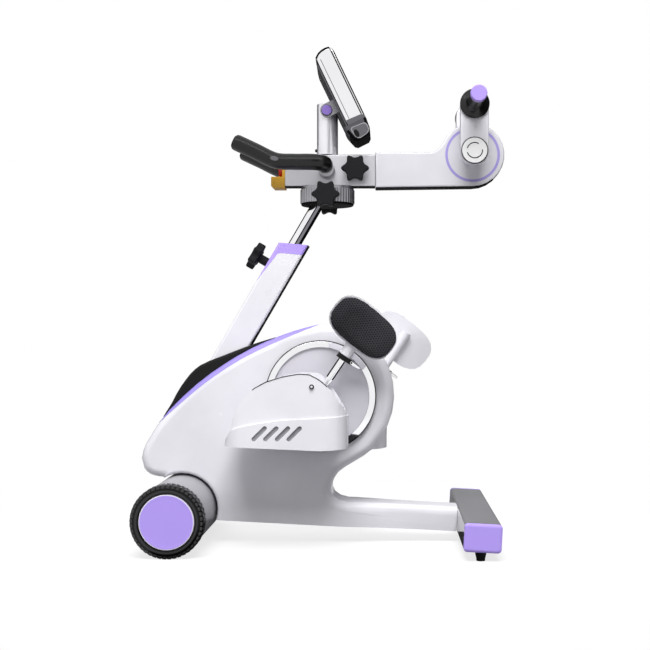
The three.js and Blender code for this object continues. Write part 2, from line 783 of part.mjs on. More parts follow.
function addBaseFrame(group) {
  const nearFace = crossbarX - crossbarDepth / 2 - 2 * seatGap;
  const tube = solidOf(frameTubeSpace(frameReach, nearFace + overrun, 0))
    .subtract(solidOf(frameTubeSpace(frameReach - overrun, crossbarX, -mainTubeWall)))
    .subtract(beamEnd());
  const stubHalf = columnDepth / 2 - columnWall - runGap;
  const stubWide = columnWidth / 2 - columnWall - runGap;
  const stubDown = columnLength + stubHalf;
  const stub = solidOf(inColumn(plate(
    roundedRect(-stubHalf, stubHalf, -stubWide, stubWide, columnCorner), -stubDown,
    frameStubEnter - columnLength)));
  const footing = wheelX + archRadius + archFlare + bodyWall + mainTubeHeight;
  const lean = columnLean * rad;
  const stubX = columnTopX - stubDown * Math.cos(lean);
  const stubZ = columnTopZ - stubDown * Math.sin(lean);
  const strut = solidOf(sideSlab(points([
    [footing - mainTubeHalf, baseLine(footing)], [footing + mainTubeHalf, baseLine(footing)],
    [stubX + stubHalf, stubZ + stubHalf], [stubX - stubHalf / 2, stubZ + stubHalf / 2],
  ]), -mainTubeHalf + mainTubeWall, mainTubeHalf - mainTubeWall))
    .subtract(archCut(archRadius + archFlare + bodyWall + runGap, 0))
    .subtract(solidOf(columnSpace(runGap, columnLength)));
  const bearingSeat = bearingRadius + runGap;
  const plateEye = bearingSeat + plateThickness;
  const plates = [];
  for (const { sign } of sides) {
    const outline = linkOutline(crankZ - baseLine(crankX), crankPlateHalf, crankPlateHalf, 5);
    const y0 = sign * crankPlateY;
    const plateSolid = solidOf(sideSlab(outline, y0, y0 - sign * plateThickness)
      .rotateY(quarterTurn).translate(crankX, 0, crankZ));
    const eye = solidOf(rod(plateEye, y0 - sign * bearingWidth, y0, roundSides / 2)
      .translate(crankX, 0, crankZ));
    plates.push(plateSolid.add(eye));
  }
  const motorPlate = solidOf(sideSlab(points([
    [motorX - motorRadius, baseLine(motorX)], [motorX + motorRadius, baseLine(motorX)],
    [motorX + motorRadius, motorZ], [motorX - motorRadius, motorZ],
  ]), pulleyY - beltWidth, pulleyY - beltWidth - plateThickness));
  const shelf = solidOf(block(motorX - motorRadius, motorX + motorRadius, -mainTubeHalf,
    pulleyY - beltWidth, baseLine(motorX), baseLine(motorX) + mainTubeHeight / 2 + plateThickness));
  let frame = joined([tube, stub, strut, ...plates, motorPlate, shelf]);
  frame = frame
    .subtract(solidOf(rod(bearingSeat, -bodyHalf, bodyHalf, roundSides / 2)
      .translate(crankX, 0, crankZ)))
    .subtract(solidOf(rod(motorShaftRadius + runGap, 0, bodyHalf).translate(motorX, 0, motorZ)));
  const axleEnd = wheelInnerY + tyreWidth - hubFaceInset - axleCover - runGap;
  frame = frame.add(solidOf(rod(axleRadius, -axleEnd, axleEnd).translate(wheelX, 0, wheelRadius)));
  addPart(group, 'base_frame', frame, frameSteel);
  for (const { name, sign } of sides) {
    const y0 = sign * crankPlateY;
    const y1 = y0 - sign * bearingWidth;
    const bearing = turned([
      [shaftRadius + runGap, y0], [bearingRadius, y0], [bearingRadius, y1], [shaftRadius + runGap, y1],
    ], roundSides / 2).translate(crankX, 0, crankZ);
    addPart(group, `crank_bearing_${name}`, solidOf(bearing), chrome);
  }
}

function addCrossbar(group) {
  const bar = placed(group, crossbarX, 0, crossbarZ, baseSlope * rad);
  const depth = crossbarDepth / 2;
  const height = crossbarHeight / 2;
  const tubeHalf = crossbarHalf - capThickness - seatGap;
  const outline = (inset) => roundedRect(-depth + inset, depth - inset, -height + inset,
    height - inset, crossbarCorner - inset);
  const tube = solidOf(sideSlab(outline(0), -tubeHalf, tubeHalf))
    .subtract(solidOf(sideSlab(outline(crossbarWall), -tubeHalf - overrun, tubeHalf + overrun)));
  addPart(bar, 'crossbar', tube, greyPaint);
  const plugReach = (capPlug - capThickness) / 2;
  const plugInset = crossbarWall + seatGap;
  for (const { name, sign } of sides) {
    const face = tubeHalf + seatGap;
    const plug = solidOf(roundedBlock(depth - plugInset, (capPlug + capThickness) / 2,
      height - plugInset));
    const cap = solidOf(sideSlab(outline(0), sign * face, sign * crossbarHalf, capThickness / 4, 0, 1))
      .add(plug.translate([0, sign * (tubeHalf - plugReach), 0]));
    addPart(bar, `crossbar_cap_${name}`, cap, lavender);
  }
  const turn = baseSlope * rad;
  const clear = solidOf(block(-crossbarDepth, crossbarDepth, -crossbarHalf, crossbarHalf,
    -height - seatGap, crossbarDepth).rotateY(turn).translate(crossbarX, 0, crossbarZ));
  for (const { name, sign } of sides) {
    const foot = turned([
      [0, 0], [footBottomRadius, 0], [footBottomRadius, crossbarHeight / 15],
      [footTopRadius, crossbarHeight / 4], [footTopRadius, crossbarZ], [0, crossbarZ],
    ], smallSides).rotateX(quarterTurn).translate(footX, sign * (crossbarHalf - footInset), 0);
    addPart(group, `foot_${name}`, solidOf(foot).subtract(clear), blackRubber);
  }
}

// Tyre with two staggered rows of blocks, and the hub that closes its outer side
function tyreSolid() {
  const half = tyreWidth / 2;
  const wallHeight = wheelRadius - tyreBore;
  const shoulder = wheelRadius - treadDepth;
  const side = [
    [tyreBore, half * 0.9], [tyreBore + wallHeight * 0.4, half],
    [tyreBore + wallHeight * 0.75, half * 0.92], [shoulder, half * 0.78],
    [wheelRadius, half * 0.6],
  ];
  const mirrored = side.map(([r, y]) => [r, -y]).reverse();
  const ring = solidOf(turned([...side, ...mirrored], roundSides));
  const cuts = [];
  for (let i = 0; i < treadBlocks; i += 1) {
    for (const { sign } of sides) {
      const turn = ((i + (sign > 0 ? 0.5 : 0)) / treadBlocks) * 2 * halfTurn;
      const y0 = sign * half * 0.06;
      const y1 = sign * (half + overrun);
      cuts.push(solidOf(block(-treadGroove / 2, treadGroove / 2, Math.min(y0, y1), Math.max(y0, y1),
        shoulder, wheelRadius + overrun).rotateY(turn)));
    }
  }
  return ring.subtract(joined(cuts));
}

function hubSolid(sign) {
  const out = sign * (tyreWidth / 2 - hubFaceInset);
  const web = out - sign * hubWeb;
  const back = -sign * tyreWidth / 2;
  const seat = tyreBore - seatGap;
  const bore = axleRadius + runGap;
  const blind = out - sign * axleCover;
  return solidOf(turned([
    [0, out], [seat - hubFaceInset, out], [seat, out - sign * hubFaceInset], [seat, back * 0.85],
    [seat - hubRim, back * 0.85], [seat - hubRim, web], [hubBossRadius, web],
    [hubBossRadius, back], [bore, back], [bore, blind], [0, blind],
  ]));
}

function addWheels(group) {
  for (const { name, sign } of sides) {
    const wheel = placed(group, wheelX, sign * (wheelInnerY + tyreWidth / 2), wheelRadius);
    addPart(wheel, `tyre_${name}`, tyreSolid(), blackRubber);
    addPart(wheel, `wheel_hub_${name}`, hubSolid(sign), lavender);
  }
  const drumEnd = wheelInnerY - drumEndGap;
  const shell = solidOf(turned([
    [axleRadius + seatGap, -drumEnd], [drumRadius, -drumEnd], [drumRadius, drumEnd],
    [axleRadius + seatGap, drumEnd],
    [axleRadius + seatGap, drumEnd - drumWall], [drumRadius - drumWall, drumEnd - drumWall],
    [drumRadius - drumWall, -drumEnd + drumWall], [axleRadius + seatGap, -drumEnd + drumWall],
  ]).translate(wheelX, 0, wheelRadius));
  const window = solidOf(frameTubeSpace(wheelX, wheelX + archRadius, tubeWindowGap));
  addPart(group, 'front_drum', shell.subtract(window), whiteShell);
}

// Column with its collar, and the mast that slides in it

function collarOutline(grow) {
  const half = columnDepth / 2;
  const far = half + overrun;
  const band = (u) => u * mouthFall - collarBand - grow;
  const shoulder = -half * 0.45;
  const strip = -half * 0.7;
  const corner = new THREE.QuadraticBezierCurve(
    new THREE.Vector2(shoulder, band(shoulder)), new THREE.Vector2(strip + grow, band(strip)),
    new THREE.Vector2(strip + grow, band(strip) - collarBand / 2));
  return [
    ...points([[far, band(far)]]), ...corner.getPoints(4),
    ...points([
      [-half + grow, -collarStrip - half * mouthFall - grow], [-far, -collarStrip - half * mouthFall],
      [-far, columnDepth], [far, columnDepth],
    ]),
  ];
}

function aboveMouth(drop) {
  const far = columnDepth;
  return solidOf(sideSlab(points([
    [-far, -far * mouthFall - drop], [far, far * mouthFall - drop], [far, 2 * far], [-far, 2 * far],
  ]), -far, far));
}

function columnBar(inset, down, wall = 0) {
  const half = columnDepth / 2 - inset;
  const wide = columnWidth / 2 - inset;
  const corner = Math.max(columnCorner - inset, columnWall / 2);
  const bar = solidOf(plate(roundedRect(-half, half, -wide, wide, corner), -down, columnDepth));
  return wall > 0 ? bar.subtract(columnBar(inset + wall, down + overrun)) : bar;
}

function addColumn(group) {
  const frame = placed(group, columnTopX, 0, columnTopZ, columnTurn);
  const far = columnDepth + overrun;
  const collarSpace = (grow) => solidOf(sideSlab(collarOutline(grow), -far, far));
  const knobBore = solidOf(lengthwise(knobSpindleRadius + seatGap, -far, 0)
    .translate(0, 0, -columnKnobDown));
  const column = columnBar(0, columnLength, columnWall).subtract(collarSpace(seatGap))
    .subtract(knobBore);
  addPart(frame, 'column', column, whiteShell);
  const plugInset = columnWall + seatGap;
  const shell = columnBar(0, columnLength).intersect(collarSpace(0)).subtract(aboveMouth(0));
  const plug = columnBar(plugInset, collarStrip + collarPlug).subtract(aboveMouth(0));
  const postBore = solidOf(upright(postRadius + runGap, -columnLength, columnDepth, roundSides / 2));
  const collar = shell.add(plug).subtract(postBore).subtract(knobBore);
  addPart(frame, 'column_collar', collar, lavender);
}

function addMast(group) {
  const seatBottom = turntableZ - seatGap - seatThickness;
  const rise = (seatBottom - columnTopZ) / Math.sin(columnLean * rad) + 2 * postRadius;
  const above = solidOf(block(-noseReach, noseReach, -noseReach, noseReach,
    seatBottom + seatThickness / 2, seatBottom + noseReach));
  const post = solidOf(inColumn(upright(postRadius, -postHidden, rise, roundSides / 2)));
  const lip = seatThickness / 3;
  const spigotTop = turntableZ + turntableHeight - seatThickness;
  const seat = turned([
    [0, seatBottom], [seatRadius - lip, seatBottom], [seatRadius, seatBottom + lip],
    [seatRadius, seatBottom + seatThickness], [spigotRadius, seatBottom + seatThickness],
    [spigotRadius, spigotTop], [0, spigotTop],
  ]).rotateX(quarterTurn).translate(swivelX, 0, 0);
  addPart(group, 'mast_post', post.subtract(above).add(solidOf(seat)), chrome);
}

function addColumnKnob(group) {
  const frame = placed(group, columnTopX, 0, columnTopZ, columnTurn);
  const knob = placed(frame, 0, 0, -columnKnobDown);
  addPart(knob, 'column_knob', solidOf(starKnob(1, columnKnobOut, columnDepth / 2 + seatGap,
    postRadius + seatGap).rotateZ(quarterTurn)), blackPlastic);
}

// Knob on the Y axis: its back stands at face, its hub starts at root, its spindle at tip
function starKnob(sign, face, root, tip) {
  const outline = [];
  const perLobe = 4;
  for (let i = 0; i < knobLobes * perLobe; i += 1) {
    const angle = (i / (knobLobes * perLobe)) * 2 * halfTurn;
    const lobe = ((1 + Math.cos(knobLobes * angle)) / 2) ** lobeShare;
    const radius = knobWaist + (knobRadius - knobWaist) * lobe;
    outline.push(new THREE.Vector2(radius * Math.cos(angle), radius * Math.sin(angle)));
  }
  const head = solidOf(sideSlab(outline, sign * face, sign * (face + knobThickness), knobEdge, 0, 2));
  const hub = solidOf(turned([
    [0, sign * root], [knobHubRadius, sign * root], [knobHubRadius * 1.5, sign * (face + knobEdge)],
    [0, sign * (face + knobEdge)],
  ], smallSides));
  const spindle = solidOf(rod(knobSpindleRadius, sign * tip, sign * face, smallSides / 2));
  return geometryOf(joined([head, hub, spindle]));
}

// Turntable, head tube, end cap, handlebars and console post
function turntableSolid() {
  const outline = [];
  for (let i = 0; i < fluteCount * 2; i += 1) {
    const radius = i % 2 ? turntableRadius : turntableRadius - fluteDepth;
    const angle = (i / (fluteCount * 2)) * 2 * halfTurn;
    outline.push(new THREE.Vector2(radius * Math.cos(angle), radius * Math.sin(angle)));
  }
  const ring = solidOf(plate(outline, turntableZ, turntableZ + turntableHeight));
  const bore = solidOf(upright(spigotRadius + runGap, turntableZ - overrun,
    turntableZ + turntableHeight + overrun, roundSides / 2));
  const knobBore = solidOf(rod(knobSpindleRadius + seatGap, -turntableRadius - overrun,
    turntableRadius + overrun, smallSides).translate(0, 0, turntableZ + turntableKnobRise));
  return ring.subtract(bore).subtract(knobBore);
}

function headTubeSolid() {
  const top = headTubeZ + headTubeHeight;
  const section = roundedRect(headTubeZ, top, -headTubeHalf, headTubeHalf, headTubeCorner);
  let tube = solidOf(plate(section, -headTubeBack, headTubeFront).rotateY(-quarterTurn)
    .scale(-1, 1, 1));
  const inside = solidOf(block(-headTubeBack - overrun, headTubeFront + overrun,
    headTubeWall - headTubeHalf, headTubeHalf - headTubeWall, headTubeZ + headTubeWall,
    top - headTubeWall));
  for (const { sign } of sides) {
    tube = tube.add(solidOf(turned([
      [0, 0], [bossRadius, 0], [bossRadius, sign * (bossReach - knobEdge)],
      [bossRadius - knobEdge, sign * bossReach], [0, sign * bossReach],
    ], roundSides / 2).translate(0, 0, bossZ)));
  }
  const bore = solidOf(rod(knobSpindleRadius + seatGap, -headTubeHalf - overrun, 0, smallSides)
    .translate(tubeKnobX - swivelX, 0, tubeKnobZ));
  return tube.subtract(inside).subtract(bore);
}

function addEndCap(group) {
  const face = -headTubeBack - seatGap - endCapFlange;
  const bottom = headTubeZ - endCapDrop;
  const top = headTubeZ + headTubeHeight + endCapProud;
  const wide = headTubeHalf + endCapProud;
  const plug = headTubeWall + seatGap;
  const flange = solidOf(block(face, face + endCapFlange, -wide, wide, bottom, top));
  const inner = solidOf(block(face + endCapFlange / 2, -headTubeBack + endCapPlug,
    -headTubeHalf + plug, headTubeHalf - plug, headTubeZ + plug, headTubeZ + headTubeHeight - plug));
  const nose = face - endCapBlock;
  const chamfer = endCapBlock / 5;
  const box = solidOf(sideSlab(points([
    [nose, bottom + chamfer], [nose + chamfer, bottom], [face + endCapFlange / 2, bottom],
    [face + endCapFlange / 2, bottom + endCapBlockHeight], [nose, bottom + endCapBlockHeight],
  ]), -wide, wide, endCapProud));
  const stemEnd = -headTubeBack + endCapPlug / 2;
  const recess = solidOf(lengthwise(stopRadius + runGap, face - overrun, face + stopRecess,
    roundSides / 2).translate(0, 0, stopZ));
  const stemBore = solidOf(lengthwise(stopStemRadius + runGap, face, stemEnd + stopTravel + runGap)
    .translate(0, 0, stopZ));
  addPart(group, 'tube_end_cap', joined([flange, inner, box]).subtract(recess).subtract(stemBore),
    capYellow);
  const button = placed(group, face - seatGap, 0, stopZ);
  const rim = stopHead / 4;
  const buttonShape = turned([
    [0, -stopHead], [stopRadius - rim, -stopHead], [stopRadius, rim - stopHead], [stopRadius, 0],
    [stopStemRadius, 0], [stopStemRadius, stemEnd - face], [0, stemEnd - face],
  ], roundSides / 2).rotateZ(-quarterTurn);
  addPart(button, 'stop_button', solidOf(buttonShape), signalRed);
}

function handlebarSolid(sign) {
  const rootX = swivelX + handleRootX;
  const at = (x, y, z) => new THREE.Vector3(x - swivelX, sign * y, z);
  const curve = new THREE.CatmullRomCurve3([
    at(handleEndX, handleY, handleEndZ),
    at((handleEndX + handleBendX) / 2, handleY, (handleEndZ + handleBendZ) / 2),
    at(handleBendX, handleY, handleBendZ),
    at(handleBendX / 2, handleY, handleZ),
    at(rootX - gripRadius * 2, handleY, handleZ),
    at(rootX - gripRadius * 0.8, handleY - gripRadius * 0.15, handleZ),
    at(rootX - gripRadius * 0.15, handleY - gripRadius * 0.7, (handleZ + handleRootZ) / 2),
    at(rootX, bossReach + gripRadius * 0.4, handleRootZ),
    at(rootX, bossReach + seatGap, handleRootZ),
  ], false, 'catmullrom', 0.5);
  const rings = 16;
  const radii = [];
  for (let i = 0; i < rings; i += 1) {
    const tip = Math.min(1, (i + 0.6) / 1.8);
    radii.push(gripRadius * Math.sqrt(1 - (1 - tip) ** 2));
  }
  return solidOf(sweptBar(curve, radii));
}

// The console post's side view: its top follows the sweep of the console's back
function consolePostSolid() {
  const base = headTubeZ + headTubeHeight + seatGap;
  const clear = consoleBack - runGap - seatGap;
  const low = (consoleTilt - tiltForward) * rad;
  const high = (consoleTilt + tiltBack) * rad;
  const far = 3 * consolePostRadius;
  const arc = new THREE.EllipseCurve(0, hingeZ, clear, clear, low, high).getPoints(5);
  const lowEnd = [arc[0].x + far * Math.sin(low), arc[0].y - far * Math.cos(low)];
  const highEnd = [arc[5].x - far * Math.sin(high), arc[5].y + far * Math.cos(high)];
  const sweep = solidOf(sideSlab([
    ...points([lowEnd]), ...arc, ...points([highEnd, [far, hingeZ + far], [2 * far, lowEnd[1]]]),
  ], -far, far));
  const earOut = hingeEarIn + hingeEarThickness + runGap;
  const pin = rod(hingePinRadius, -earOut, earOut).translate(0, 0, hingeZ);
  const caps = sides.map(({ sign }) => solidOf(rod(hingeCapRadius, sign * earOut,
    sign * (earOut + hingeCapProud)).translate(0, 0, hingeZ)));
  return joined([
    solidOf(upright(consolePostRadius, base, hingeZ + postTopRise, roundSides * 0.75))
      .subtract(sweep), solidOf(pin), ...caps]);
}

function addSwivel(group) {
  const head = placed(group, swivelX, 0, 0);
  addPart(head, 'turntable', turntableSolid(), silver);
  for (const { name, sign } of sides) {
    const knob = placed(head, 0, 0, turntableZ + turntableKnobRise);
    addPart(knob, `turntable_knob_${name}`, solidOf(starKnob(sign, turntableKnobY,
      turntableRadius + runGap, spigotRadius + 2 * runGap)), blackPlastic);
  }
  addPart(head, 'head_tube', headTubeSolid(), silver);
  const knob = placed(head, tubeKnobX - swivelX, 0, tubeKnobZ);
  addPart(knob, 'tube_knob', solidOf(starKnob(-1, tubeKnobY, headTubeHalf + seatGap,
    headTubeHalf - headTubeWall)), blackPlastic);
  addEndCap(head);
  for (const { name, sign } of sides) {
    addPart(head, `handlebar_${name}`, handlebarSolid(sign), blackPlastic);
  }
  addPart(head, 'console_post', consolePostSolid(), silver);
}

// Console, drawn round its hinge with +X towards the screen's normal
function addConsole(group) {
  const frame = placed(group, swivelX, 0, hingeZ, -consoleTilt * rad);
  const outline = consoleShares.map(([depth, height]) => new THREE.Vector2(
    consoleBack + depth * consoleDepth, height * consoleHeight - consoleBelow));
  const full = solidOf(sideSlab(outline, -consoleHalf, consoleHalf, consoleEdge, 0, 3));
  const split = consoleBack + consoleShell;
  const far = 2 * consoleHeight;
  const chin = consoleChin - consoleBelow;
  const faceX = consoleBack + consoleDepth;
  const room = (x0, x1, half, low, high) => solidOf(block(x0, x1, -half, half, low, high));
  const inside = (half) => solidOf(sideSlab(outline, consoleWall - half, half - consoleWall, 0,
    consoleWall));
  const hollow = inside(consoleHalf);
  const depth = room(0, faceX - screenRecess - consoleWall, far, -far, far);
  const cover = full.intersect(room(0, split - consoleWall, consoleCoverHalf, chin, far));
  const rearPlate = full.intersect(room(split - consoleWall, split, far, chin, far));
  const block0 = full.intersect(room(0, far, far, -far, chin)).subtract(hollow.intersect(depth));
  const coverRoom = inside(consoleCoverHalf).intersect(room(0, split + overrun, far, -far, far));
  const ears = sides.map(({ sign }) => solidOf(sideSlab(
    linkOutline(hingeEarReach, hingeEarRadius, hingeEarRadius, 8), sign * hingeEarIn,
    sign * (hingeEarIn + hingeEarThickness))).intersect(room(-far, split, far, -far, far)));
  const pinBore = solidOf(rod(hingePinRadius + runGap, -consoleHalf, consoleHalf));
  const rear = joined([joined([cover, rearPlate, block0]).subtract(coverRoom), ...ears])
    .subtract(pinBore);
  addPart(frame, 'console_case', rear, consoleGrey);
  const lowIn = chin + bezelWall;
  const highIn = consoleHeight - consoleBelow - 2 * bezelWall;
  const window = room(faceX - screenRecess, far, consoleHalf - bezelWall, lowIn, highIn);
  const front = full.intersect(room(split + seatGap, far, far, chin + seatGap, far))
    .subtract(hollow.intersect(depth)).subtract(window);
  addPart(frame, 'console_bezel', front, chrome);
}

// Arm unit: slide bar, two half shells, ring motor, shaft with cranks, and grips
function armOutline() {
  const neckLow = -armNeckDrop - armNeckHeight / 2;
  const neckHigh = -armNeckDrop + armNeckHeight / 2;
  const reach = armX - swivelX - headTubeFront - 2 * seatGap;
  const filletX = -Math.sqrt((armHeadRadius + armNeckFillet) ** 2 - (neckHigh + armNeckFillet) ** 2);
  const touch = Math.atan2(neckHigh + armNeckFillet, filletX);
  const lowTouch = Math.asin(Math.max(-1, neckLow / armHeadRadius));
  const head = new THREE.EllipseCurve(0, 0, armHeadRadius, armHeadRadius, lowTouch, touch);
  const fillet = new THREE.EllipseCurve(filletX, neckHigh + armNeckFillet, armNeckFillet,
    armNeckFillet, touch - halfTurn, -quarterTurn, true);
  return [
    ...points([[-reach, neckLow]]), ...head.getPoints(18), ...fillet.getPoints(6),
    ...points([[-reach, neckHigh]]),
  ];
}

function slideSpace(x0, x1, inset) {
  const low = headTubeZ + headTubeWall + runGap + inset - armZ;
  const high = headTubeZ + headTubeHeight - headTubeWall - runGap - inset - armZ;
  const wide = headTubeHalf - headTubeWall - runGap - inset;
  return solidOf(block(x0, x1, -wide, wide, low, high));
}

function addArmShells(group) {
  const neckEnd = -(armX - swivelX - headTubeFront - 2 * seatGap);
  const full = solidOf(sideSlab(armOutline(), -armHalf, armHalf, armEdge, 0, 2));
  const hollow = solidOf(sideSlab(armOutline(), armWall - armHalf, armHalf - armWall, 0, armWall));
  const shaftBore = solidOf(rod(armShaftRadius + 2 * runGap, -armHalf - overrun, armHalf + overrun));
  const mouth = slideSpace(neckEnd - overrun, neckEnd + 2 * overrun, -seatGap);
  const body = full.subtract(hollow).subtract(shaftBore).subtract(mouth);
  const far = 4 * armHeadRadius;
  for (const { name, sign } of sides) {
    const y0 = Math.min(sign * seamGap / 2, sign * far);
    const y1 = Math.max(sign * seamGap / 2, sign * far);
    const half = body.intersect(solidOf(block(-far, far, y0, y1, -far, far)));
    addPart(group, `arm_housing_${name}`, half, whiteShell);
  }
  const bar = slideSpace(neckEnd - slideOut, neckEnd + slideIn, 0)
    .subtract(slideSpace(neckEnd - slideOut - overrun, neckEnd + slideIn + overrun, slideWall));
  addPart(group, 'arm_slide', bar, frameSteel);
  const motor = turned([
    [armShaftRadius + runGap, -armMotorHalf], [armMotorRadius, -armMotorHalf],
    [armMotorRadius, armMotorHalf], [armShaftRadius + runGap, armMotorHalf],
  ], roundSides / 2);
  addPart(group, 'arm_gearmotor', solidOf(motor), frameSteel);
}

function armCrankSolid(sign) {
  const outer = armCrankY + armCrankThickness;
  const edge = armCrankThickness / 6;
  const arm = solidOf(sideSlab(linkOutline(armCrankRadius, armCrankHalf, armCrankHalf, 9),
    sign * armCrankY, sign * outer, edge, 0, 2).rotateY(-quarterTurn));
  const hub = solidOf(rod(armHubRadius, sign * (armHalf + runGap), sign * (armCrankY + edge),
    roundSides / 2));
  const cap = solidOf(rod(armCapRadius, sign * (outer - edge), sign * (outer + armCapProud),
    roundSides / 2));
  const pinEnd = armGripEnd - armGripCover;
  const pin = solidOf(rod(armGripPinRadius, sign * (outer - edge), sign * pinEnd)
    .translate(0, 0, armCrankRadius));
  return joined([arm, hub, cap, pin]);
}

function addArmCranks(group) {
  const blind = armCrankY + armCrankThickness / 2;
  const bore = solidOf(rod(armShaftRadius + seatGap, -blind, -armHalf));
  addPart(group, 'arm_crank_left', armCrankSolid(-1).subtract(bore), whiteShell);
  const shaft = solidOf(rod(armShaftRadius, seatGap - blind, armCrankY + overrun));
  addPart(group, 'arm_crank_right', armCrankSolid(1).add(shaft), whiteShell);
  for (const { name, sign } of sides) {
    const grip = placed(group, 0, 0, armCrankRadius);
    const start = armCrankY + armCrankThickness + runGap;
    const neck = start + armGripFlareDepth;
    const bore = armGripPinRadius + runGap;
    const pinEnd = armGripEnd - armGripCover + runGap;
    const rim = armGripRadius / 5;
    addPart(grip, `arm_grip_${name}`, solidOf(turned([
      [bore, sign * start], [armGripFlare, sign * start],
      [armGripFlare * 0.93, sign * (start + armGripFlareDepth * 0.3)],
      [armGripRadius * 1.25, sign * (start + armGripFlareDepth * 0.75)],
      [armGripRadius, sign * neck], [armGripRadius, sign * (armGripEnd - rim)],
      [armGripRadius - rim, sign * armGripEnd], [0, sign * armGripEnd],
      [0, sign * pinEnd], [bore, sign * pinEnd],
    ].reverse(), roundSides / 2)), blackRubber);
  }
}

function addArmUnit(group) {
  const arm = placed(group, armX, 0, armZ);
  addArmShells(arm);
  addArmCranks(arm);
}

// Leg drive: shaft with its pulley, belt, motor and motor pulley, cranks and side discs
function addLegDrive(group) {
  const drive = placed(group, crankX, 0, crankZ);
  const shaftEnd = legArmY + legArmThickness * 0.75;
  const y0 = pulleyY - beltWidth / 2;
  const y1 = pulleyY + beltWidth / 2;
  const wheel = turned([
    [0, y0], [pulleyRadius, y0], [pulleyRadius, y1], [pulleyRadius - beltWidth, y1],
    [pulleyRadius - beltWidth, pulleyY], [2 * shaftRadius, pulleyY], [2 * shaftRadius, y1], [0, y1],
  ]);
  addPart(drive, 'crank_shaft', solidOf(rod(shaftRadius, -shaftEnd, shaftEnd)).add(solidOf(wheel)),
    frameSteel);
  const motorShaft = placed(group, motorX, 0, motorZ);
  const motorFace = pulleyY - beltWidth - plateThickness - seatGap;
  addPart(motorShaft, 'motor_pulley', solidOf(turned([
    [0, motorFace - motorLength / 2], [motorShaftRadius, motorFace - motorLength / 2],
    [motorShaftRadius, y0], [motorPulleyRadius, y0], [motorPulleyRadius, y1], [0, y1],
  ], roundSides / 2)), frameSteel);
  const motor = turned([
    [0, motorFace - motorLength], [motorRadius, motorFace - motorLength], [motorRadius, motorFace],
    [motorShaftRadius + runGap, motorFace],
    [motorShaftRadius + runGap, motorFace - motorLength / 2 - runGap],
    [0, motorFace - motorLength / 2 - runGap],
  ], roundSides / 2);
  addPart(motorShaft, 'leg_motor', solidOf(motor), blackPlastic);
  addBelt(drive);
  for (const { name, sign } of sides) addDisc(drive, name, sign);
}

function addBelt(drive) {
  const reach = Math.hypot(motorX - crankX, motorZ - crankZ);
  const turn = Math.atan2(motorZ - crankZ, motorX - crankX);
  const loop = (grow) => linkOutline(reach, pulleyRadius + grow, motorPulleyRadius + grow, 16);
  const y0 = pulleyY - beltWidth / 2 + pulleyFlange;
  const y1 = pulleyY + beltWidth / 2 - pulleyFlange;
  const belt = solidOf(sideSlab(loop(beltGap + beltThickness), y0, y1))
    .subtract(solidOf(sideSlab(loop(beltGap), y0 - overrun, y1 + overrun)));
  const holder = placed(drive, 0, 0, 0, -turn);
  addPart(holder, 'drive_belt', belt, blackRubber);
}

function addDisc(drive, name, sign) {
  const back = sign * (bodyHalf + seatGap);
  const face = sign * discFace;
  const peak = sign * (discFace + discRimProud);
  const inner = discRadius - discRimWidth;
  const disc = turned([
    [discHole, back], [discRadius, back], [discRadius, face - sign * discRimProud],
    [discRadius - discRimWidth * 0.3, peak], [discRadius - discRimWidth * 0.7, peak],
    [inner, face - sign * discRimProud], [discHole, face - sign * discRimProud],
  ]);
  addPart(drive, `disc_cover_${name}`, solidOf(disc), discGrey);
}

function addLegCranks(group) {
  for (const { name, sign } of sides) {
    const angle = (crankAngle + (sign > 0 ? 180 : 0)) * rad;
    const crank = placed(group, crankX, 0, crankZ, -angle);
    const outer = legArmY + legArmThickness;
    const pinEnd = footY0 + footWall + pinBossDepth;
    const arm = solidOf(sideSlab(linkOutline(crankRadius, legHubRadius, legEyeRadius),
      sign * legArmY, sign * outer, legArmThickness / 6, 0, 1));
    const pin = solidOf(rod(pedalPinRadius, sign * legArmY, sign * pinEnd)
      .translate(crankRadius, 0, 0)).subtract(solidOf(rod(legHubRadius, sign * legArmY, 0)));
    const bore = solidOf(rod(shaftRadius + seatGap, 0, sign * (outer - legArmThickness / 6)));
    addPart(crank, `leg_crank_${name}`, arm.add(pin).subtract(bore), frameSteel);
    const foot = placed(group, crankX + crankRadius * Math.cos(angle), 0,
      crankZ + crankRadius * Math.sin(angle));
    addFootShell(foot, name, sign);
    addCalfSupport(foot, name, sign);
  }
}

// Foot shell, drawn round its pedal pin
const footPoint = ([x, z]) => new THREE.Vector2(x * footLength - footToe, z * footHeight - footDrop);

function footPlan(sign, inset) {
  const x0 = -footToe + inset;
  const x1 = footLength - footToe - inset;
  const near = sign * (footY0 + inset);
  const farY = sign * (footY0 + footWidth - inset);
  const heel = heelRadius - inset;
  const toe = toeRadius - inset;
  const corner = (x, y, r, from) => {
    const arc = new THREE.EllipseCurve(x, y, r, r, from * rad, from * rad + quarterTurn);
    return arc.getPoints(4);
  };
  const y0 = Math.min(near, farY);
  const y1 = Math.max(near, farY);
  return [
    ...corner(x1 - heel, y0 + heel, heel, 270), ...corner(x1 - heel, y1 - heel, heel, 0),
    ...corner(x0 + toe, y1 - toe, toe, 90), ...corner(x0 + toe, y0 + toe, toe, 180),
  ];
}

// Slots through the outer wall alone
function footSlots(sign) {
  const lean = slotLean * rad;
  const half = (slotLength - slotWidth) / 2;
  const cuts = [];
  for (let i = 0; i < slotCount; i += 1) {
    const outline = linkOutline(2 * half, slotWidth / 2, slotWidth / 2, 4);
    const slot = sideSlab(outline, sign * (footY0 + footWidth / 2), sign * (footY0 + 2 * footWidth))
      .translate(-half, 0, 0).rotateY(-lean)
      .translate(slotStart + i * slotPitch, 0, -slotDrop);
    cuts.push(solidOf(slot));
  }
  return joined(cuts);
}

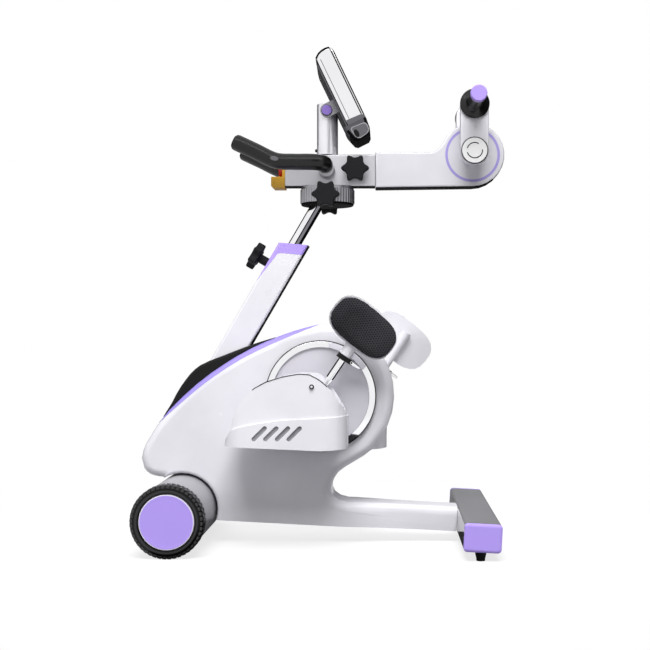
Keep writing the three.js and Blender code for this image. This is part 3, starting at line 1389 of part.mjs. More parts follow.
function addFootShell(group, name, sign) {
  const y0 = sign * (footY0 - overrun);
  const y1 = sign * (footY0 + footWidth + overrun);
  const top = footHeight;
  const skirtLine = footSkirtShares.map(footPoint);
  const domeLine = new THREE.SplineCurve(footDomeShares.map(footPoint)).getPoints(16);
  const domeFoot = points([
    [footLength - footToe, -footDrop + footSole], [footSkirt - footToe, -footDrop + footSole],
  ]);
  const skirt = solidOf(sideSlab(skirtLine, y0, y1))
    .intersect(solidOf(plate(footPlan(sign, 0), -top, top)));
  const dome = solidOf(sideSlab([...domeLine, ...domeFoot], y0, y1))
    .intersect(solidOf(plate(footPlan(sign, footSkirt), -top, top)));
  const pocket = solidOf(plate(footPlan(sign, footSkirt + footWall), footSole - footDrop, top));
  const wallIn = footY0 + footSkirt + footWall;
  const boss = solidOf(rod(pinBossRadius, sign * (footY0 + footSkirt), sign * (wallIn + pinBossDepth)));
  const ankle = solidOf(rod(anklePinRadius, sign * (wallIn - seatGap),
    sign * (wallIn + pinBossDepth + ankleEyeThickness + 4 * seatGap)).translate(ankleX, 0, ankleZ));
  const spacer = solidOf(rod(2 * anklePinRadius, sign * (wallIn - seatGap), sign * (wallIn + pinBossDepth))
    .translate(ankleX, 0, ankleZ));
  const outerFace = footY0 + footWidth - footSkirt;
  const screw = solidOf(rod(anklePinRadius * 0.8, sign * (outerFace - footWall / 2),
    sign * (outerFace + footSkirt / 2), smallSides / 2).translate(ankleX, 0, ankleZ));
  const bore = solidOf(rod(pedalPinRadius + runGap, 0, sign * (wallIn + pinBossDepth + overrun)));
  const shell = joined([skirt.add(dome).subtract(pocket).subtract(footSlots(sign)), boss, ankle, spacer,
    screw]).subtract(bore);
  addPart(group, `foot_shell_${name}`, shell, glossWhite);
}

// Calf support: rod on the ankle pin, sliding trough with its pad, and the clamp lever
function addCalfSupport(foot, name, sign) {
  const calf = placed(foot, ankleX, 0, ankleZ, quarterTurn - calfLean * rad);
  const eyeY = footY0 + footSkirt + footWall + pinBossDepth + 2 * seatGap;
  const rodY = eyeY + ankleEyeThickness / 2;
  const eye = solidOf(rod(ankleEyeRadius, sign * eyeY, sign * (eyeY + ankleEyeThickness),
    roundSides / 2));
  const bar = solidOf(upright(calfRodRadius, 0, calfRodLength).translate(calfRodOffset, sign * rodY, 0));
  const nearWall = solidOf(block(-ankleEyeRadius, 2 * ankleEyeRadius,
    Math.min(0, sign * eyeY), Math.max(0, sign * eyeY), -ankleEyeRadius, ankleEyeRadius));
  const bore = solidOf(rod(anklePinRadius + runGap, 0, sign * 2 * eyeY));
  const rodPart = eye.add(bar.subtract(nearWall)).subtract(bore);
  addPart(calf, `calf_rod_${name}`, rodPart, chrome);
  const slider = placed(calf, calfRodOffset, sign * rodY, 0);
  addPart(slider, `calf_shell_${name}`, troughSolid(sign), glossWhite);
  addPart(slider, `calf_pad_${name}`, padSolid(sign), padFabric);
  addPart(slider, `clamp_lever_${name}`, leverSolid(), chrome);
}


function setPad(geometry) {
  return solidOf(geometry.rotateY(padTurn * rad).translate(0, 0, padAt));
}

function troughSolid(sign) {
  const back = sign * padBase;
  const front = sign * (padBase + troughWall);
  const grow = troughRim / padHalfWidth;
  const layers = [
    [0, back], [0.55, back], [1 + grow, back], [1 + grow, front], [0.97, front], [0.8, front],
    [0.5, front], [0, front],
  ];
  const trough = setPad(bowedShell(padHalfLength, padHalfWidth, layers, sign * padBend));
  const socket = solidOf(upright(socketRadius, clampAt + clampHeight / 2, socketTop, roundSides / 2));
  const inside = setPad(bowedShell(padHalfLength, padHalfWidth,
    [[0, front], [0.5, front], [0.8, front], [0.97, front], [1 + grow, front],
      [1 + grow, sign * 3 * padBend], [0, sign * 3 * padBend]],
    sign * padBend));
  const collar = solidOf(upright(clampRadius, clampAt, clampAt + clampHeight, roundSides / 2));
  const lugX = leverPinAt;
  const lug = solidOf(block(0, lugX + leverKnuckle, -leverLug / 2, leverLug / 2, clampAt,
    clampAt + clampHeight));
  const pin = solidOf(rod(leverPinRadius, -leverWidth / 2, leverWidth / 2, smallSides / 2)
    .translate(lugX, 0, clampAt + clampHeight / 2));
  const bore = solidOf(upright(calfRodRadius + runGap, clampAt - overrun, socketTop + overrun));
  return joined([trough, socket.subtract(inside), collar, lug, pin]).subtract(bore);
}

function padSolid(sign) {
  const at = (share) => sign * (padBase + troughWall + padGap + padThickness * share);
  const crown = sign * padCrown;
  const layers = [
    [0, at(0)], [0.5, at(0)], [0.8, at(0)], [0.97, at(0)], [1, at(0.3)], [0.99, at(0.7)], [0.94, at(0.95)],
    [0.8, at(1) + crown * 0.5], [0.45, at(1) + crown], [0, at(1) + crown],
  ];
  return setPad(bowedShell(padHalfLength, padHalfWidth, layers, sign * padBend));
}

function leverSolid() {
  const half = leverWidth / 2;
  const arm = solidOf(sideSlab(linkOutline(leverLength, leverKnuckle, leverThickness / 2, 6),
    -half, half, leverThickness / 6, 0, 1));
  const forkReach = Math.hypot(leverKnuckle, clampHeight / 2) + runGap;
  const fork = solidOf(block(-leverThickness * 2, forkReach, -leverLug / 2 - runGap,
    leverLug / 2 + runGap, -leverThickness * 2, leverThickness * 2));
  const bore = solidOf(rod(leverPinRadius + runGap, -leverWidth, leverWidth, smallSides / 2));
  const lever = geometryOf(arm.subtract(fork).subtract(bore));
  return solidOf(lever.translate(leverPinAt, 0, clampAt + clampHeight / 2));
}

const machine = new THREE.Group();
addHousing(machine);
addSpineCover(machine);
addBaseFrame(machine);
addCrossbar(machine);
addWheels(machine);
addColumn(machine);
addLegDrive(machine);
addLegCranks(machine);
addMast(machine);
addColumnKnob(machine);
addSwivel(machine);
addConsole(machine);
addArmUnit(machine);

export default machine;
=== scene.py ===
"""Looks of an arm and leg pedal exerciser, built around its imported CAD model.

The machine stands on its front wheels and a crossbar. The user sits at +X and faces -X, so the
near side (-Y) is the user's left. Sizes in the classes are millimetres; Blender works in metres.
"""

from __future__ import annotations

import json
import logging
import math
from dataclasses import dataclass, field
from enum import Enum
from typing import Callable, Iterable, Sequence

import bmesh
import bpy
from mathutils import Matrix, Vector
from mathutils.bvhtree import BVHTree

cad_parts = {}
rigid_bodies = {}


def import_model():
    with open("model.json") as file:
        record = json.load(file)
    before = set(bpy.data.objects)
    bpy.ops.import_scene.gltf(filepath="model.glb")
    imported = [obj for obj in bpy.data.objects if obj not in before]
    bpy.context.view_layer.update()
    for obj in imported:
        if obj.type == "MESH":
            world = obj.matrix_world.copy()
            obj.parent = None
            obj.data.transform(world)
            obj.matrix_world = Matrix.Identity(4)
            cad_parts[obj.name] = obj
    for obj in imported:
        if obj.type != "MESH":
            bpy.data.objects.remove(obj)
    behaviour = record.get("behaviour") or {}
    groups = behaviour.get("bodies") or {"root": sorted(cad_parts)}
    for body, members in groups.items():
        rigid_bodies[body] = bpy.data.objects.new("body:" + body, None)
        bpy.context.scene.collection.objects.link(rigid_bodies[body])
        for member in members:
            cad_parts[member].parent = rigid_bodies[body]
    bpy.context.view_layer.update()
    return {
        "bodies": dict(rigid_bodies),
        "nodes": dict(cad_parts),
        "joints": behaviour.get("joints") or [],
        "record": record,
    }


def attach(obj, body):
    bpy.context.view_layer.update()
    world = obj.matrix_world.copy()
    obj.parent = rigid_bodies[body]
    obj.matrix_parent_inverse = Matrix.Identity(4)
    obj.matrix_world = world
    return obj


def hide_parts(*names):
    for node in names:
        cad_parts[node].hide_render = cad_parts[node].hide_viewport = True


LOG = logging.getLogger("exerciser")
FaceTest = Callable[[bmesh.types.BMFace], bool]
# Pairs of millimetres, in a piece's own frame
Outline = list[tuple[float, float]]
MM = 0.001
QUARTER = math.pi / 2
FULL_TURN = 2 * math.pi
# Corners of loose CAD triangles nearer than this are one corner
WELD = 0.004 * MM
TOUCH = 0.01 * MM
CUT_WELD = 0.001 * MM
FLAT_BEND = math.radians(0.5)
# A face whose normal's Z is lower looks at the floor
DOWNWARD = -0.72
# A face whose normal reaches this along X is an upright wall
UPRIGHT = 0.9


class Side(Enum):
    """The user's left and right: the value is the sign of Y."""

    LEFT = -1
    RIGHT = 1

    @property
    def word(self) -> str:
        """The side as it stands at the end of a node's name."""
        return self.name.lower()


# Pedal pins at rest, X and Z
PEDAL_PINS = {Side.LEFT: (-47.445, 351.947), Side.RIGHT: (37.445, 322.053)}


# Finishes


def linear(hex_colour: str) -> tuple[float, float, float, float]:
    """Turns an sRGB hex colour to linear red, green, blue and alpha.

    Args:
        hex_colour: six hex digits after a hash sign.

    Returns:
        The linear colour with alpha 1.
    """
    channels = [int(hex_colour[i : i + 2], 16) / 255 for i in (1, 3, 5)]
    red, green, blue = (
        c / 12.92 if c <= 0.04045 else ((c + 0.055) / 1.055) ** 2.4 for c in channels
    )
    return red, green, blue, 1.0


def add_node(
    tree: bpy.types.NodeTree,
    kind: str,
    settings: dict[str, object] | None = None,
    links: dict[str, bpy.types.NodeSocket] | None = None,
) -> bpy.types.Node:
    """Adds one node with its settings and links.

    Args:
        tree: the node tree that gets the node.
        kind: the node's type name.
        settings: socket values by socket name, node properties by property name, and "stops"
            for a colour ramp as (position, hex colour) pairs.
        links: the socket that feeds each named input.

    Returns:
        The new node.
    """
    node = tree.nodes.new(kind)
    for key, value in (settings or {}).items():
        if key == "stops":
            ramp = node.color_ramp.elements
            while len(ramp) < len(value):
                ramp.new(1.0)
            for stop, (position, colour) in zip(ramp, value):
                stop.position = position
                stop.color = linear(colour)
        elif key.isdigit():
            node.inputs[int(key)].default_value = value
        elif key in node.inputs:
            node.inputs[key].default_value = value
        else:
            setattr(node, key, value)
    for key, socket in (links or {}).items():
        tree.links.new(socket, node.inputs[int(key) if key.isdigit() else key])
    return node


def cleared_tree(block: bpy.types.Material | bpy.types.World) -> bpy.types.NodeTree:
    """Empties a material's or a world's node tree.

    Args:
        block: the material or world.

    Returns:
        Its empty tree.
    """
    block.use_nodes = True
    block.node_tree.nodes.clear()
    return block.node_tree


def shade(hex_colour: str, share: float) -> str:
    """Darkens or lightens an sRGB hex colour.

    Args:
        hex_colour: six hex digits after a hash sign.
        share: factor on each channel.

    Returns:
        The new hex colour.
    """
    channels = [int(hex_colour[i : i + 2], 16) for i in (1, 3, 5)]
    return "#" + "".join(f"{min(255, round(c * share)):02X}" for c in channels)


@dataclass(frozen=True)
class SurfaceFinish:
    """A finish with mottled colour, a fine bump and uneven gloss.

    The real grains of mouldings and paints are a few tenths of a millimetre wide at most. They
    are drawn coarser, so that they show: grain_mm is the width of one drawn grain.
    """

    title: str
    colour: str
    roughness: float = 0.4
    metallic: float = 0.0
    ior: float = 1.5
    grain_mm: float = 1.2
    grain_depth_mm: float = 0.02
    mottle: float = 0.97
    gloss_spread: float = 0.06
    coat: float = 0.0
    specular: float = 0.5
    stretch: tuple[float, float, float] = (1.0, 1.0, 1.0)

    def material(self) -> bpy.types.Material:
        """Returns this finish's material, making it at its first use.

        Returns:
            The material.
        """
        known = bpy.data.materials.get(self.title)
        if known is not None:
            return known
        material = bpy.data.materials.new(self.title)
        material.diffuse_color = linear(self.colour)
        tree = cleared_tree(material)
        sockets = {
            "Roughness": self.roughness,
            "Metallic": self.metallic,
            "Coat Weight": self.coat,
            "Coat Roughness": 0.08,
        }
        if self.metallic == 0:
            sockets["IOR"] = self.ior
            sockets["Specular IOR Level"] = self.specular
        surface = add_node(tree, "ShaderNodeBsdfPrincipled", sockets)
        self.wire(tree, surface)
        add_node(tree, "ShaderNodeOutputMaterial", links={"Surface": surface.outputs["BSDF"]})
        return material

    def place(self, tree: bpy.types.NodeTree) -> bpy.types.NodeSocket:
        """Adds the object coordinates that the patterns read, stretched along the grain.

        Args:
            tree: the material's nodes.

        Returns:
            The socket that gives them.
        """
        where = add_node(tree, "ShaderNodeTexCoord")
        laid = add_node(
            tree, "ShaderNodeMapping", {"Scale": self.stretch}, {"Vector": where.outputs["Object"]}
        )
        return laid.outputs["Vector"]

    def wire(self, tree: bpy.types.NodeTree, surface: bpy.types.Node) -> None:
        """Adds the mottle, the grain bump and the uneven gloss.

        Args:
            tree: the material's nodes.
            surface: the shader that they feed.
        """
        place = self.place(tree)
        clouds = add_node(
            tree, "ShaderNodeTexNoise", {"Scale": 9.0, "Detail": 3.0}, {"Vector": place}
        )
        tint = add_node(
            tree,
            "ShaderNodeValToRGB",
            {"stops": [(0.35, shade(self.colour, self.mottle)), (0.65, self.colour)]},
            {"Fac": clouds.outputs["Fac"]},
        )
        gloss = add_node(
            tree,
            "ShaderNodeMapRange",
            {
                "To Min": max(0.0, self.roughness - self.gloss_spread / 2),
                "To Max": self.roughness + self.gloss_spread / 2,
            },
            {"Value": clouds.outputs["Fac"]},
        )
        grain = add_node(
            tree,
            "ShaderNodeTexNoise",
            {"Scale": 1 / (self.grain_mm * MM), "Detail": 2.0},
            {"Vector": place},
        )
        bump = add_node(
            tree,
            "ShaderNodeBump",
            {"Strength": 0.6, "Distance": self.grain_depth_mm * MM},
            {"Height": grain.outputs["Fac"]},
        )
        tree.links.new(tint.outputs["Color"], surface.inputs["Base Color"])
        tree.links.new(gloss.outputs["Result"], surface.inputs["Roughness"])
        tree.links.new(bump.outputs["Normal"], surface.inputs["Normal"])


@dataclass(frozen=True)
class KnitCover(SurfaceFinish):
    """Elastic knit over foam: rows of small raised cells set in a honeycomb.

    The real cell is about 2.5 mm; it is drawn at cell_mm so that it shows in the render.
    """

    cell_mm: float = 5.0
    # Colour of the painted shade in the valleys between the cells
    valley: str = "#161618"
    turn: float = math.radians(34)
    # Cell widths to one unit of Blender's wave pattern
    wave_share: float = 3.2

    def wire(self, tree: bpy.types.NodeTree, surface: bpy.types.Node) -> None:
        """Adds three crossed waves, whose sum is a honeycomb of raised cells, with the valleys between them
        darkened as painted shade.

        Args:
            tree: the material's nodes.
            surface: the shader that they feed.
        """
        where = add_node(tree, "ShaderNodeTexCoord")
        total: bpy.types.NodeSocket | None = None
        for step in range(3):
            laid = add_node(
                tree,
                "ShaderNodeMapping",
                {"Rotation": (0.0, self.turn + step * math.pi / 3, 0.0)},
                {"Vector": where.outputs["Object"]},
            )
            row = add_node(
                tree,
                "ShaderNodeTexWave",
                {"Scale": 1 / (self.cell_mm * MM * self.wave_share), "bands_direction": "X"},
                {"Vector": laid.outputs["Vector"]},
            )
            if total is None:
                total = row.outputs["Fac"]
            else:
                both = add_node(
                    tree, "ShaderNodeMath", {"operation": "ADD"}, {"0": total, "1": row.outputs["Fac"]}
                )
                total = both.outputs["Value"]
        mean = add_node(tree, "ShaderNodeMath", {"operation": "DIVIDE", "1": 3.0}, {"0": total})
        tint = add_node(
            tree,
            "ShaderNodeValToRGB",
            {"stops": [(0.25, self.valley), (0.8, self.colour)]},
            {"Fac": mean.outputs["Value"]},
        )
        bump = add_node(
            tree,
            "ShaderNodeBump",
            {"Strength": 0.8, "Distance": self.grain_depth_mm * MM},
            {"Height": total},
        )
        tree.links.new(tint.outputs["Color"], surface.inputs["Base Color"])
        tree.links.new(bump.outputs["Normal"], surface.inputs["Normal"])


class Coat(Enum):
    """The finishes of the machine."""

    # ABS housings, moulded against a fine-etched tool: soft sheen, faint cloudiness
    SHELL = SurfaceFinish("Moulded white ABS", "#ECEBF1", 0.26, grain_mm=0.9, grain_depth_mm=0.012)
    # The same ABS a shade greyer, as painted shade on the arm unit's housings
    ARM_SHELL = SurfaceFinish(
        "Greyer moulded ABS", "#DEDDE3", 0.26, grain_mm=0.9, grain_depth_mm=0.012
    )
    # ABS moulded against a polished tool: sharper reflections than the housings
    GLOSS = SurfaceFinish("Polished white ABS", "#F3F2F8", 0.2, grain_depth_mm=0.006, coat=0.3)
    # Polished further, and drawn pure white as painted highlight, so it looks whiter than the painted crank
    # round it
    CAP_WHITE = SurfaceFinish(
        "Polished white cap", "#FFFFFF", 0.12, grain_depth_mm=0.002, mottle=0.99, coat=0.5
    )
    # Enamel sprayed over steel: slight orange peel
    ENAMEL = SurfaceFinish("White enamel on steel", "#EFEEF4", 0.28, grain_mm=2.2, coat=0.25)
    # Coloured through or printed: an even colour with a soft sheen
    LAVENDER = SurfaceFinish("Moulded lavender ABS", "#BDA4FF", 0.38, mottle=0.985)
    STRIPE = SurfaceFinish("Lavender trim strip", "#A494EA", 0.35, mottle=0.985)
    # A pale ring of painted highlight on the hub cover's edge
    PALE_RIM = SurfaceFinish("Polished pale edge", "#F4F0FF", 0.2)
    GRIP_CAP = SurfaceFinish("Moulded light lavender ABS", "#B79EF2", 0.4, mottle=0.985)
    PAINTED_RING = SurfaceFinish("Lavender pad print", "#A79BDB", 0.35, mottle=0.985)
    PIVOT_CAP = SurfaceFinish("Moulded violet polyamide", "#8870C0", 0.35, mottle=0.95)
    # Glass-filled polyamide: matt, with a coarse spark-eroded grain
    KNOB = SurfaceFinish(
        "Grained black polyamide", "#1F1F21", 0.55, grain_mm=1.4, grain_depth_mm=0.03, specular=0.12
    )
    # Black mouldings and rubber that hardly shine
    # Also the black spot of painted shade in the console's side panels
    SATIN_BLACK = SurfaceFinish("Moulded black ABS", "#101012", 0.38, grain_mm=0.8, specular=0.2)
    # Black for dark parts, and painted shade on undersides, in gaps and along the column's back
    UNDER_BLACK = SurfaceFinish("Black underside cover", "#060606", 0.8, grain_mm=1.5, specular=0.08)
    TYRE = SurfaceFinish("Vulcanised tyre rubber", "#030303", 0.6, grain_mm=1.8, specular=0.1)
    # Smooth on top, so it shines; drawn lighter than the tyre's other rubber as painted sheen, so the
    # grooves between the blocks stay dark
    TREAD = SurfaceFinish("Tread block rubber", "#1D1D1F", 0.28, grain_mm=1.8, specular=0.6)
    # The sidewall's rounded ring, drawn lighter than the rubber round it as painted sheen
    SHOULDER = SurfaceFinish("Rounded sidewall ring", "#202022", 0.35, specular=0.4)
    # Moulded smooth beside the tread blocks
    SIDEWALL = SurfaceFinish("Polished sidewall rubber", "#080809", 0.3, specular=0.2)
    FOOT_RUBBER = SurfaceFinish("Moulded foot rubber", "#0E0E0F", 0.7, grain_mm=1.6, specular=0.2)
    # Closed-cell foam with a smooth skin: small pores and a soft shine along the sleeve
    GRIP_FOAM = SurfaceFinish(
        "Nitrile foam sleeve", "#0B0B0C", 0.3, grain_mm=1.5, grain_depth_mm=0.012, specular=0.4
    )
    # Baked powder over steel: a dull, even grey
    POWDER = SurfaceFinish("Grey powder coat", "#7C7C7F", 0.55, grain_mm=1.6, specular=0.2)
    # A darker, glossier copy of the grey powder coat: painted shade on the patch of crossbar that mirrors
    # the white beam
    POWDER_GLOSS = SurfaceFinish(
        "Glossy grey powder coat", "#4E4E51", 0.12, grain_depth_mm=0.002, coat=0.8
    )
    # Sprayed on parts inside the housing, which hardly show
    FRAME_PAINT = SurfaceFinish("Dark frame paint", "#57575C", 0.5, grain_mm=1.6)
    # Plated and polished: it mirrors the room and the flags
    CHROME = SurfaceFinish(
        "Bright chrome plate", "#F4F4F6", 0.06, metallic=1.0, grain_depth_mm=0.001, gloss_spread=0.05
    )
    # Bead-blasted and clear anodised: broad soft highlight along the tube
    SATIN_ALU = SurfaceFinish(
        "Satin anodised aluminium", "#DAD9DE", 0.4, metallic=0.5, grain_mm=0.8, stretch=(0.2, 1.0, 1.0)
    )
    # Turned and tumbled: dark where it mirrors the flags
    TURNED_ALU = SurfaceFinish(
        "Turned aluminium", "#F0EFF4", 0.3, metallic=0.7, grain_mm=0.8, grain_depth_mm=0.004
    )
    FLUTED_ALU = SurfaceFinish("Fluted aluminium", "#A5A4A9", 0.3, metallic=0.8, grain_mm=0.8)
    # Metallic paint sprayed on plastic: a light grey with a soft gleam
    SILVER_PAINT = SurfaceFinish("Silver metallic paint", "#DCDAE2", 0.36, metallic=0.1, grain_mm=0.6)
    # Elastic knit over foam: matt, with rows of raised cells and painted shade in the valleys between them
    KNIT = KnitCover("Black knit cover", "#3D3D41", 0.85, grain_depth_mm=0.35, specular=0.25)
    # Small mouldings, coloured through
    RED = SurfaceFinish("Signal red ABS", "#B3161F", 0.3, mottle=0.93)
    YELLOW = SurfaceFinish("Moulded yellow ABS", "#D2A137", 0.4, mottle=0.95)
    CONSOLE_GREY = SurfaceFinish("Moulded dark grey ABS", "#4B4B50", 0.4, grain_mm=0.9)
    # Greys: painted shade behind the slots, the drum, plates with painted recess shade, and cast lugs
    LINER = SurfaceFinish("Grey slot liner", "#9C9CA0", 0.5, mottle=0.9)
    # The drum is drawn greyer than the white housings, all over
    DRUM = SurfaceFinish("Grey lacquered drum", "#ABAAAF", 0.35, grain_mm=1.2, mottle=0.95)
    # Grey for plates and lines, and painted shade in the console's recessed panels
    PANEL_GREY = SurfaceFinish("Recessed grey panel", "#626266", 0.3, mottle=0.9)
    LUG_GREY = SurfaceFinish("Cast grey alloy", "#A4A4A9", 0.35, metallic=0.3, mottle=0.93)
    # Glass over a dark display: one sharp reflection
    SCREEN = SurfaceFinish("Display glass", "#0B0D12", 0.06, coat=1.0, grain_depth_mm=0.0005)
    KEY = SurfaceFinish("Membrane key film", "#C9C8D2", 0.45)

    @property
    def material(self) -> bpy.types.Material:
        """The finish's Blender material."""
        return self.value.material()


# Shaping


def at(x: float, y: float, z: float) -> Vector:
    """A point given in millimetres, in metres.

    Args:
        x: its place towards the user.
        y: its place across the machine.
        z: its height.

    Returns:
        The point.
    """
    return Vector((x, y, z)) * MM


def linked_object(name: str, bm: bmesh.types.BMesh) -> bpy.types.Object:
    """Turns a bmesh into an object of the scene, and frees it.

    Args:
        name: the object's name.
        bm: its shape, in metres.

    Returns:
        The object.
    """
    mesh = bpy.data.meshes.new(name)
    bm.to_mesh(mesh)
    bm.free()
    made = bpy.data.objects.new(name, mesh)
    bpy.context.scene.collection.objects.link(made)
    return made


def write_piece(
    name: str,
    bm: bmesh.types.BMesh,
    body: str,
    coats: Sequence[Coat],
    replaced: Iterable[str] = (),
    crease: float = 32.0,
) -> None:
    """Turns a bmesh to a finished piece that rides on a body.

    Args:
        name: the piece's name.
        bm: the shape, in metres, where it stands on the machine. It is freed.
        body: the CAD body that carries it.
        coats: its finishes, in the order of the faces' material numbers.
        replaced: the CAD nodes that it stands for.
        crease: edges that bend more than this many degrees stay sharp.
    """
    piece = linked_object(name, bm)
    mesh = piece.data
    for polygon in mesh.polygons:
        polygon.use_smooth = True
    mesh.set_sharp_from_angle(angle=math.radians(crease))
    for coat in coats:
        mesh.materials.append(coat.material)
    evened = piece.modifiers.new("even normals", "WEIGHTED_NORMAL")
    evened.keep_sharp = True
    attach(piece, body)
    nodes = list(replaced)
    if nodes:
        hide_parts(*nodes)
    LOG.info("%s: %d faces, on %s", name, len(mesh.polygons), body)


def merged_copy(node: bpy.types.Object) -> bmesh.types.BMesh:
    """Copies a CAD node's mesh with its loose triangles joined and its flat faces made whole.

    Args:
        node: the CAD node's object.

    Returns:
        The joined shape.
    """
    bm = bmesh.new()
    bm.from_mesh(node.data)
    bmesh.ops.remove_doubles(bm, verts=bm.verts, dist=WELD)
    bmesh.ops.dissolve_limit(bm, angle_limit=FLAT_BEND, verts=bm.verts, edges=bm.edges)
    return bm


def bevel(bm: bmesh.types.BMesh, edges: Sequence[bmesh.types.BMEdge], width: float, steps: int) -> None:
    """Rounds edges.

    Args:
        bm: the shape.
        edges: the edges to round.
        width: the rounding's width in millimetres.
        steps: facets across the rounding.
    """
    bmesh.ops.bevel(
        bm, geom=edges, offset=width * MM, offset_type="OFFSET", affect="EDGES", segments=steps,
        profile=0.5, clamp_overlap=True, material=-1,
    )


def ease_edges(bm: bmesh.types.BMesh, width: float, crease: float = 50.0, steps: int = 2) -> None:
    """Rounds the edges that bend more than crease degrees.

    Args:
        bm: the shape.
        width: the rounding's width in millimetres.
        crease: the least bend that is rounded, in degrees.
        steps: facets across the rounding.
    """
    sharp = [
        edge
        for edge in bm.edges
        if edge.is_manifold and edge.calc_face_angle(0.0) > math.radians(crease)
    ]
    if sharp:
        bevel(bm, sharp, width, steps)


def polar(count: int, reach: Callable[[float], float]) -> Outline:
    """An outline whose distance from its middle depends on the angle.

    Args:
        count: its points.
        reach: the distance in millimetres at an angle in radians.

    Returns:
        The outline's points.
    """
    angles = [FULL_TURN * step / count for step in range(count)]
    return [(reach(a) * math.cos(a), reach(a) * math.sin(a)) for a in angles]


def oval(width: float, height: float, steps: int, x: float = 0.0, y: float = 0.0) -> Outline:
    """The outline of an oval.

    Args:
        width: its half width in millimetres.
        height: its half height in millimetres.
        steps: points round it.
        x: its centre.
        y: its centre.

    Returns:
        The outline's points.
    """
    angles = (FULL_TURN * step / steps for step in range(steps))
    return [(x + width * math.cos(a), y + height * math.sin(a)) for a in angles]


def paint_faces(bm: bmesh.types.BMesh, number: int, test: FaceTest) -> None:
    """Gives the faces that pass a test another of the piece's finishes.

    Args:
        bm: the shape.
        number: the finish's place among the piece's finishes.
        test: whether a face gets it.
    """
    for face in bm.faces:
        if test(face):
            face.material_index = number


def spun(profile: Sequence[tuple[float, float]], place: Matrix, steps: int = 96) -> bmesh.types.BMesh:
    """Turns a profile about the local Z axis.

    Args:
        profile: (radius, height) pairs in millimetres; a closed ring ends where it starts.
        place: from the piece's own frame to the machine's.
        steps: facets round the axis.

    Returns:
        The turned shape.
    """
    bm = bmesh.new()
    corners = [bm.verts.new(at(radius, 0, height)) for radius, height in profile]
    for low, high in zip(corners, corners[1:]):
        bm.edges.new((low, high))
    bmesh.ops.spin(
        bm, geom=bm.verts[:] + bm.edges[:], cent=(0, 0, 0), axis=(0, 0, 1), angle=FULL_TURN,
        steps=steps, use_merge=True,
    )
    bmesh.ops.remove_doubles(bm, verts=bm.verts, dist=TOUCH)
    bmesh.ops.recalc_face_normals(bm, faces=bm.faces)
    bmesh.ops.transform(bm, matrix=place, verts=bm.verts)
    return bm


def pushed(
    outline: Sequence[tuple[float, float]],
    height: float,
    place: Matrix,
    ease: float = 0.0,
    steps: int = 3,
) -> bmesh.types.BMesh:
    """Pushes a flat outline along the local Z axis and rounds both rims.

    Args:
        outline: (x, y) pairs in millimetres.
        height: how far it is pushed, in millimetres.
        place: from the piece's own frame to the machine's.
        ease: the rims' rounding in millimetres.
        steps: facets across the rounding.

    Returns:
        The pushed shape.
    """
    bm = bmesh.new()
    face = bm.faces.new([bm.verts.new(at(x, y, 0)) for x, y in outline])
    lifted = bmesh.ops.extrude_face_region(bm, geom=[face], use_keep_orig=True)
    top = [g for g in lifted["geom"] if isinstance(g, bmesh.types.BMVert)]
    bmesh.ops.translate(bm, verts=top, vec=at(0, 0, height))
    bmesh.ops.recalc_face_normals(bm, faces=bm.faces)
    if ease > 0:
        rims = [e for e in bm.edges if abs(e.verts[0].co.z - e.verts[1].co.z) < TOUCH]
        bevel(bm, rims, ease, steps)
    bmesh.ops.transform(bm, matrix=place, verts=bm.verts)
    return bm


def shrunk(outline: Sequence[tuple[float, float]], share: float, x: float, y: float) -> Outline:
    """Draws an outline towards a point.

    Args:
        outline: its points.
        share: what is left of each point's distance.
        x: the point.
        y: the point.

    Returns:
        The smaller outline.
    """
    return [(x + (px - x) * share, y + (py - y) * share) for px, py in outline]


def joined(shapes: Sequence[bmesh.types.BMesh]) -> bmesh.types.BMesh:
    """Puts several shapes in one bmesh, and frees them.

    Args:
        shapes: the shapes; each keeps its material numbers.

    Returns:
        The whole.
    """
    whole = bmesh.new()
    for number, shape in enumerate(shapes):
        mesh = bpy.data.meshes.new(f"part {number}")
        shape.to_mesh(mesh)
        shape.free()
        whole.from_mesh(mesh)
        bpy.data.meshes.remove(mesh)
    return whole


def sweep(path: Sequence[Vector], radii: Sequence[float], sides: int = 32) -> bmesh.types.BMesh:
    """Pulls a ring along a path, turning it with the path.

    Args:
        path: the points that the ring's centre passes, in metres.
        radii: the ring's radius at each point, in millimetres.
        sides: facets round the ring.

    Returns:
        The closed bar.
    """
    bm = bmesh.new()
    start = bmesh.ops.create_circle(bm, cap_ends=True, segments=sides, radius=MM)
    ring = start["verts"]
    frame = Matrix.Identity(3)
    heading = Vector((0, 0, 1))
    place = Matrix.Identity(4)
    for number, (point, radius) in enumerate(zip(path, radii)):
        ahead = (path[min(number + 1, len(path) - 1)] - path[max(number - 1, 0)]).normalized()
        frame = heading.rotation_difference(ahead).to_matrix() @ frame
        heading = ahead
        wanted = Matrix.Translation(point) @ frame.to_4x4() @ Matrix.Scale(radius, 4)
        if number > 0:
            edges = [e for e in bm.edges if e.verts[0] in ring and e.verts[1] in ring]
            grown = bmesh.ops.extrude_edge_only(bm, edges=edges)
            ring = [g for g in grown["geom"] if isinstance(g, bmesh.types.BMVert)]
        bmesh.ops.transform(bm, matrix=wanted @ place.inverted(), verts=ring)
        place = wanted
    bmesh.ops.contextual_create(bm, geom=[e for e in bm.edges if e.is_boundary])
    bmesh.ops.recalc_face_normals(bm, faces=bm.faces)
    return bm


def smooth_path(points: Sequence[Vector], steps: int = 8) -> list[Vector]:
    """Passes a smooth curve through the points.

    Args:
        points: the points, in metres.
        steps: new points between each two.

    Returns:
        The curve's points.
    """
    path: list[Vector] = []
    for number in range(len(points) - 1):
        before = points[max(number - 1, 0)]
        low, high = points[number], points[number + 1]
        after = points[min(number + 2, len(points) - 1)]
        for step in range(steps):
            t = step / steps
            bend = (2 * before - 5 * low + 4 * high - after) * t**2
            twist = (3 * low - before - 3 * high + after) * t**3
            path.append(0.5 * (2 * low + (high - before) * t + bend + twist))
    path.append(points[-1])
    return path


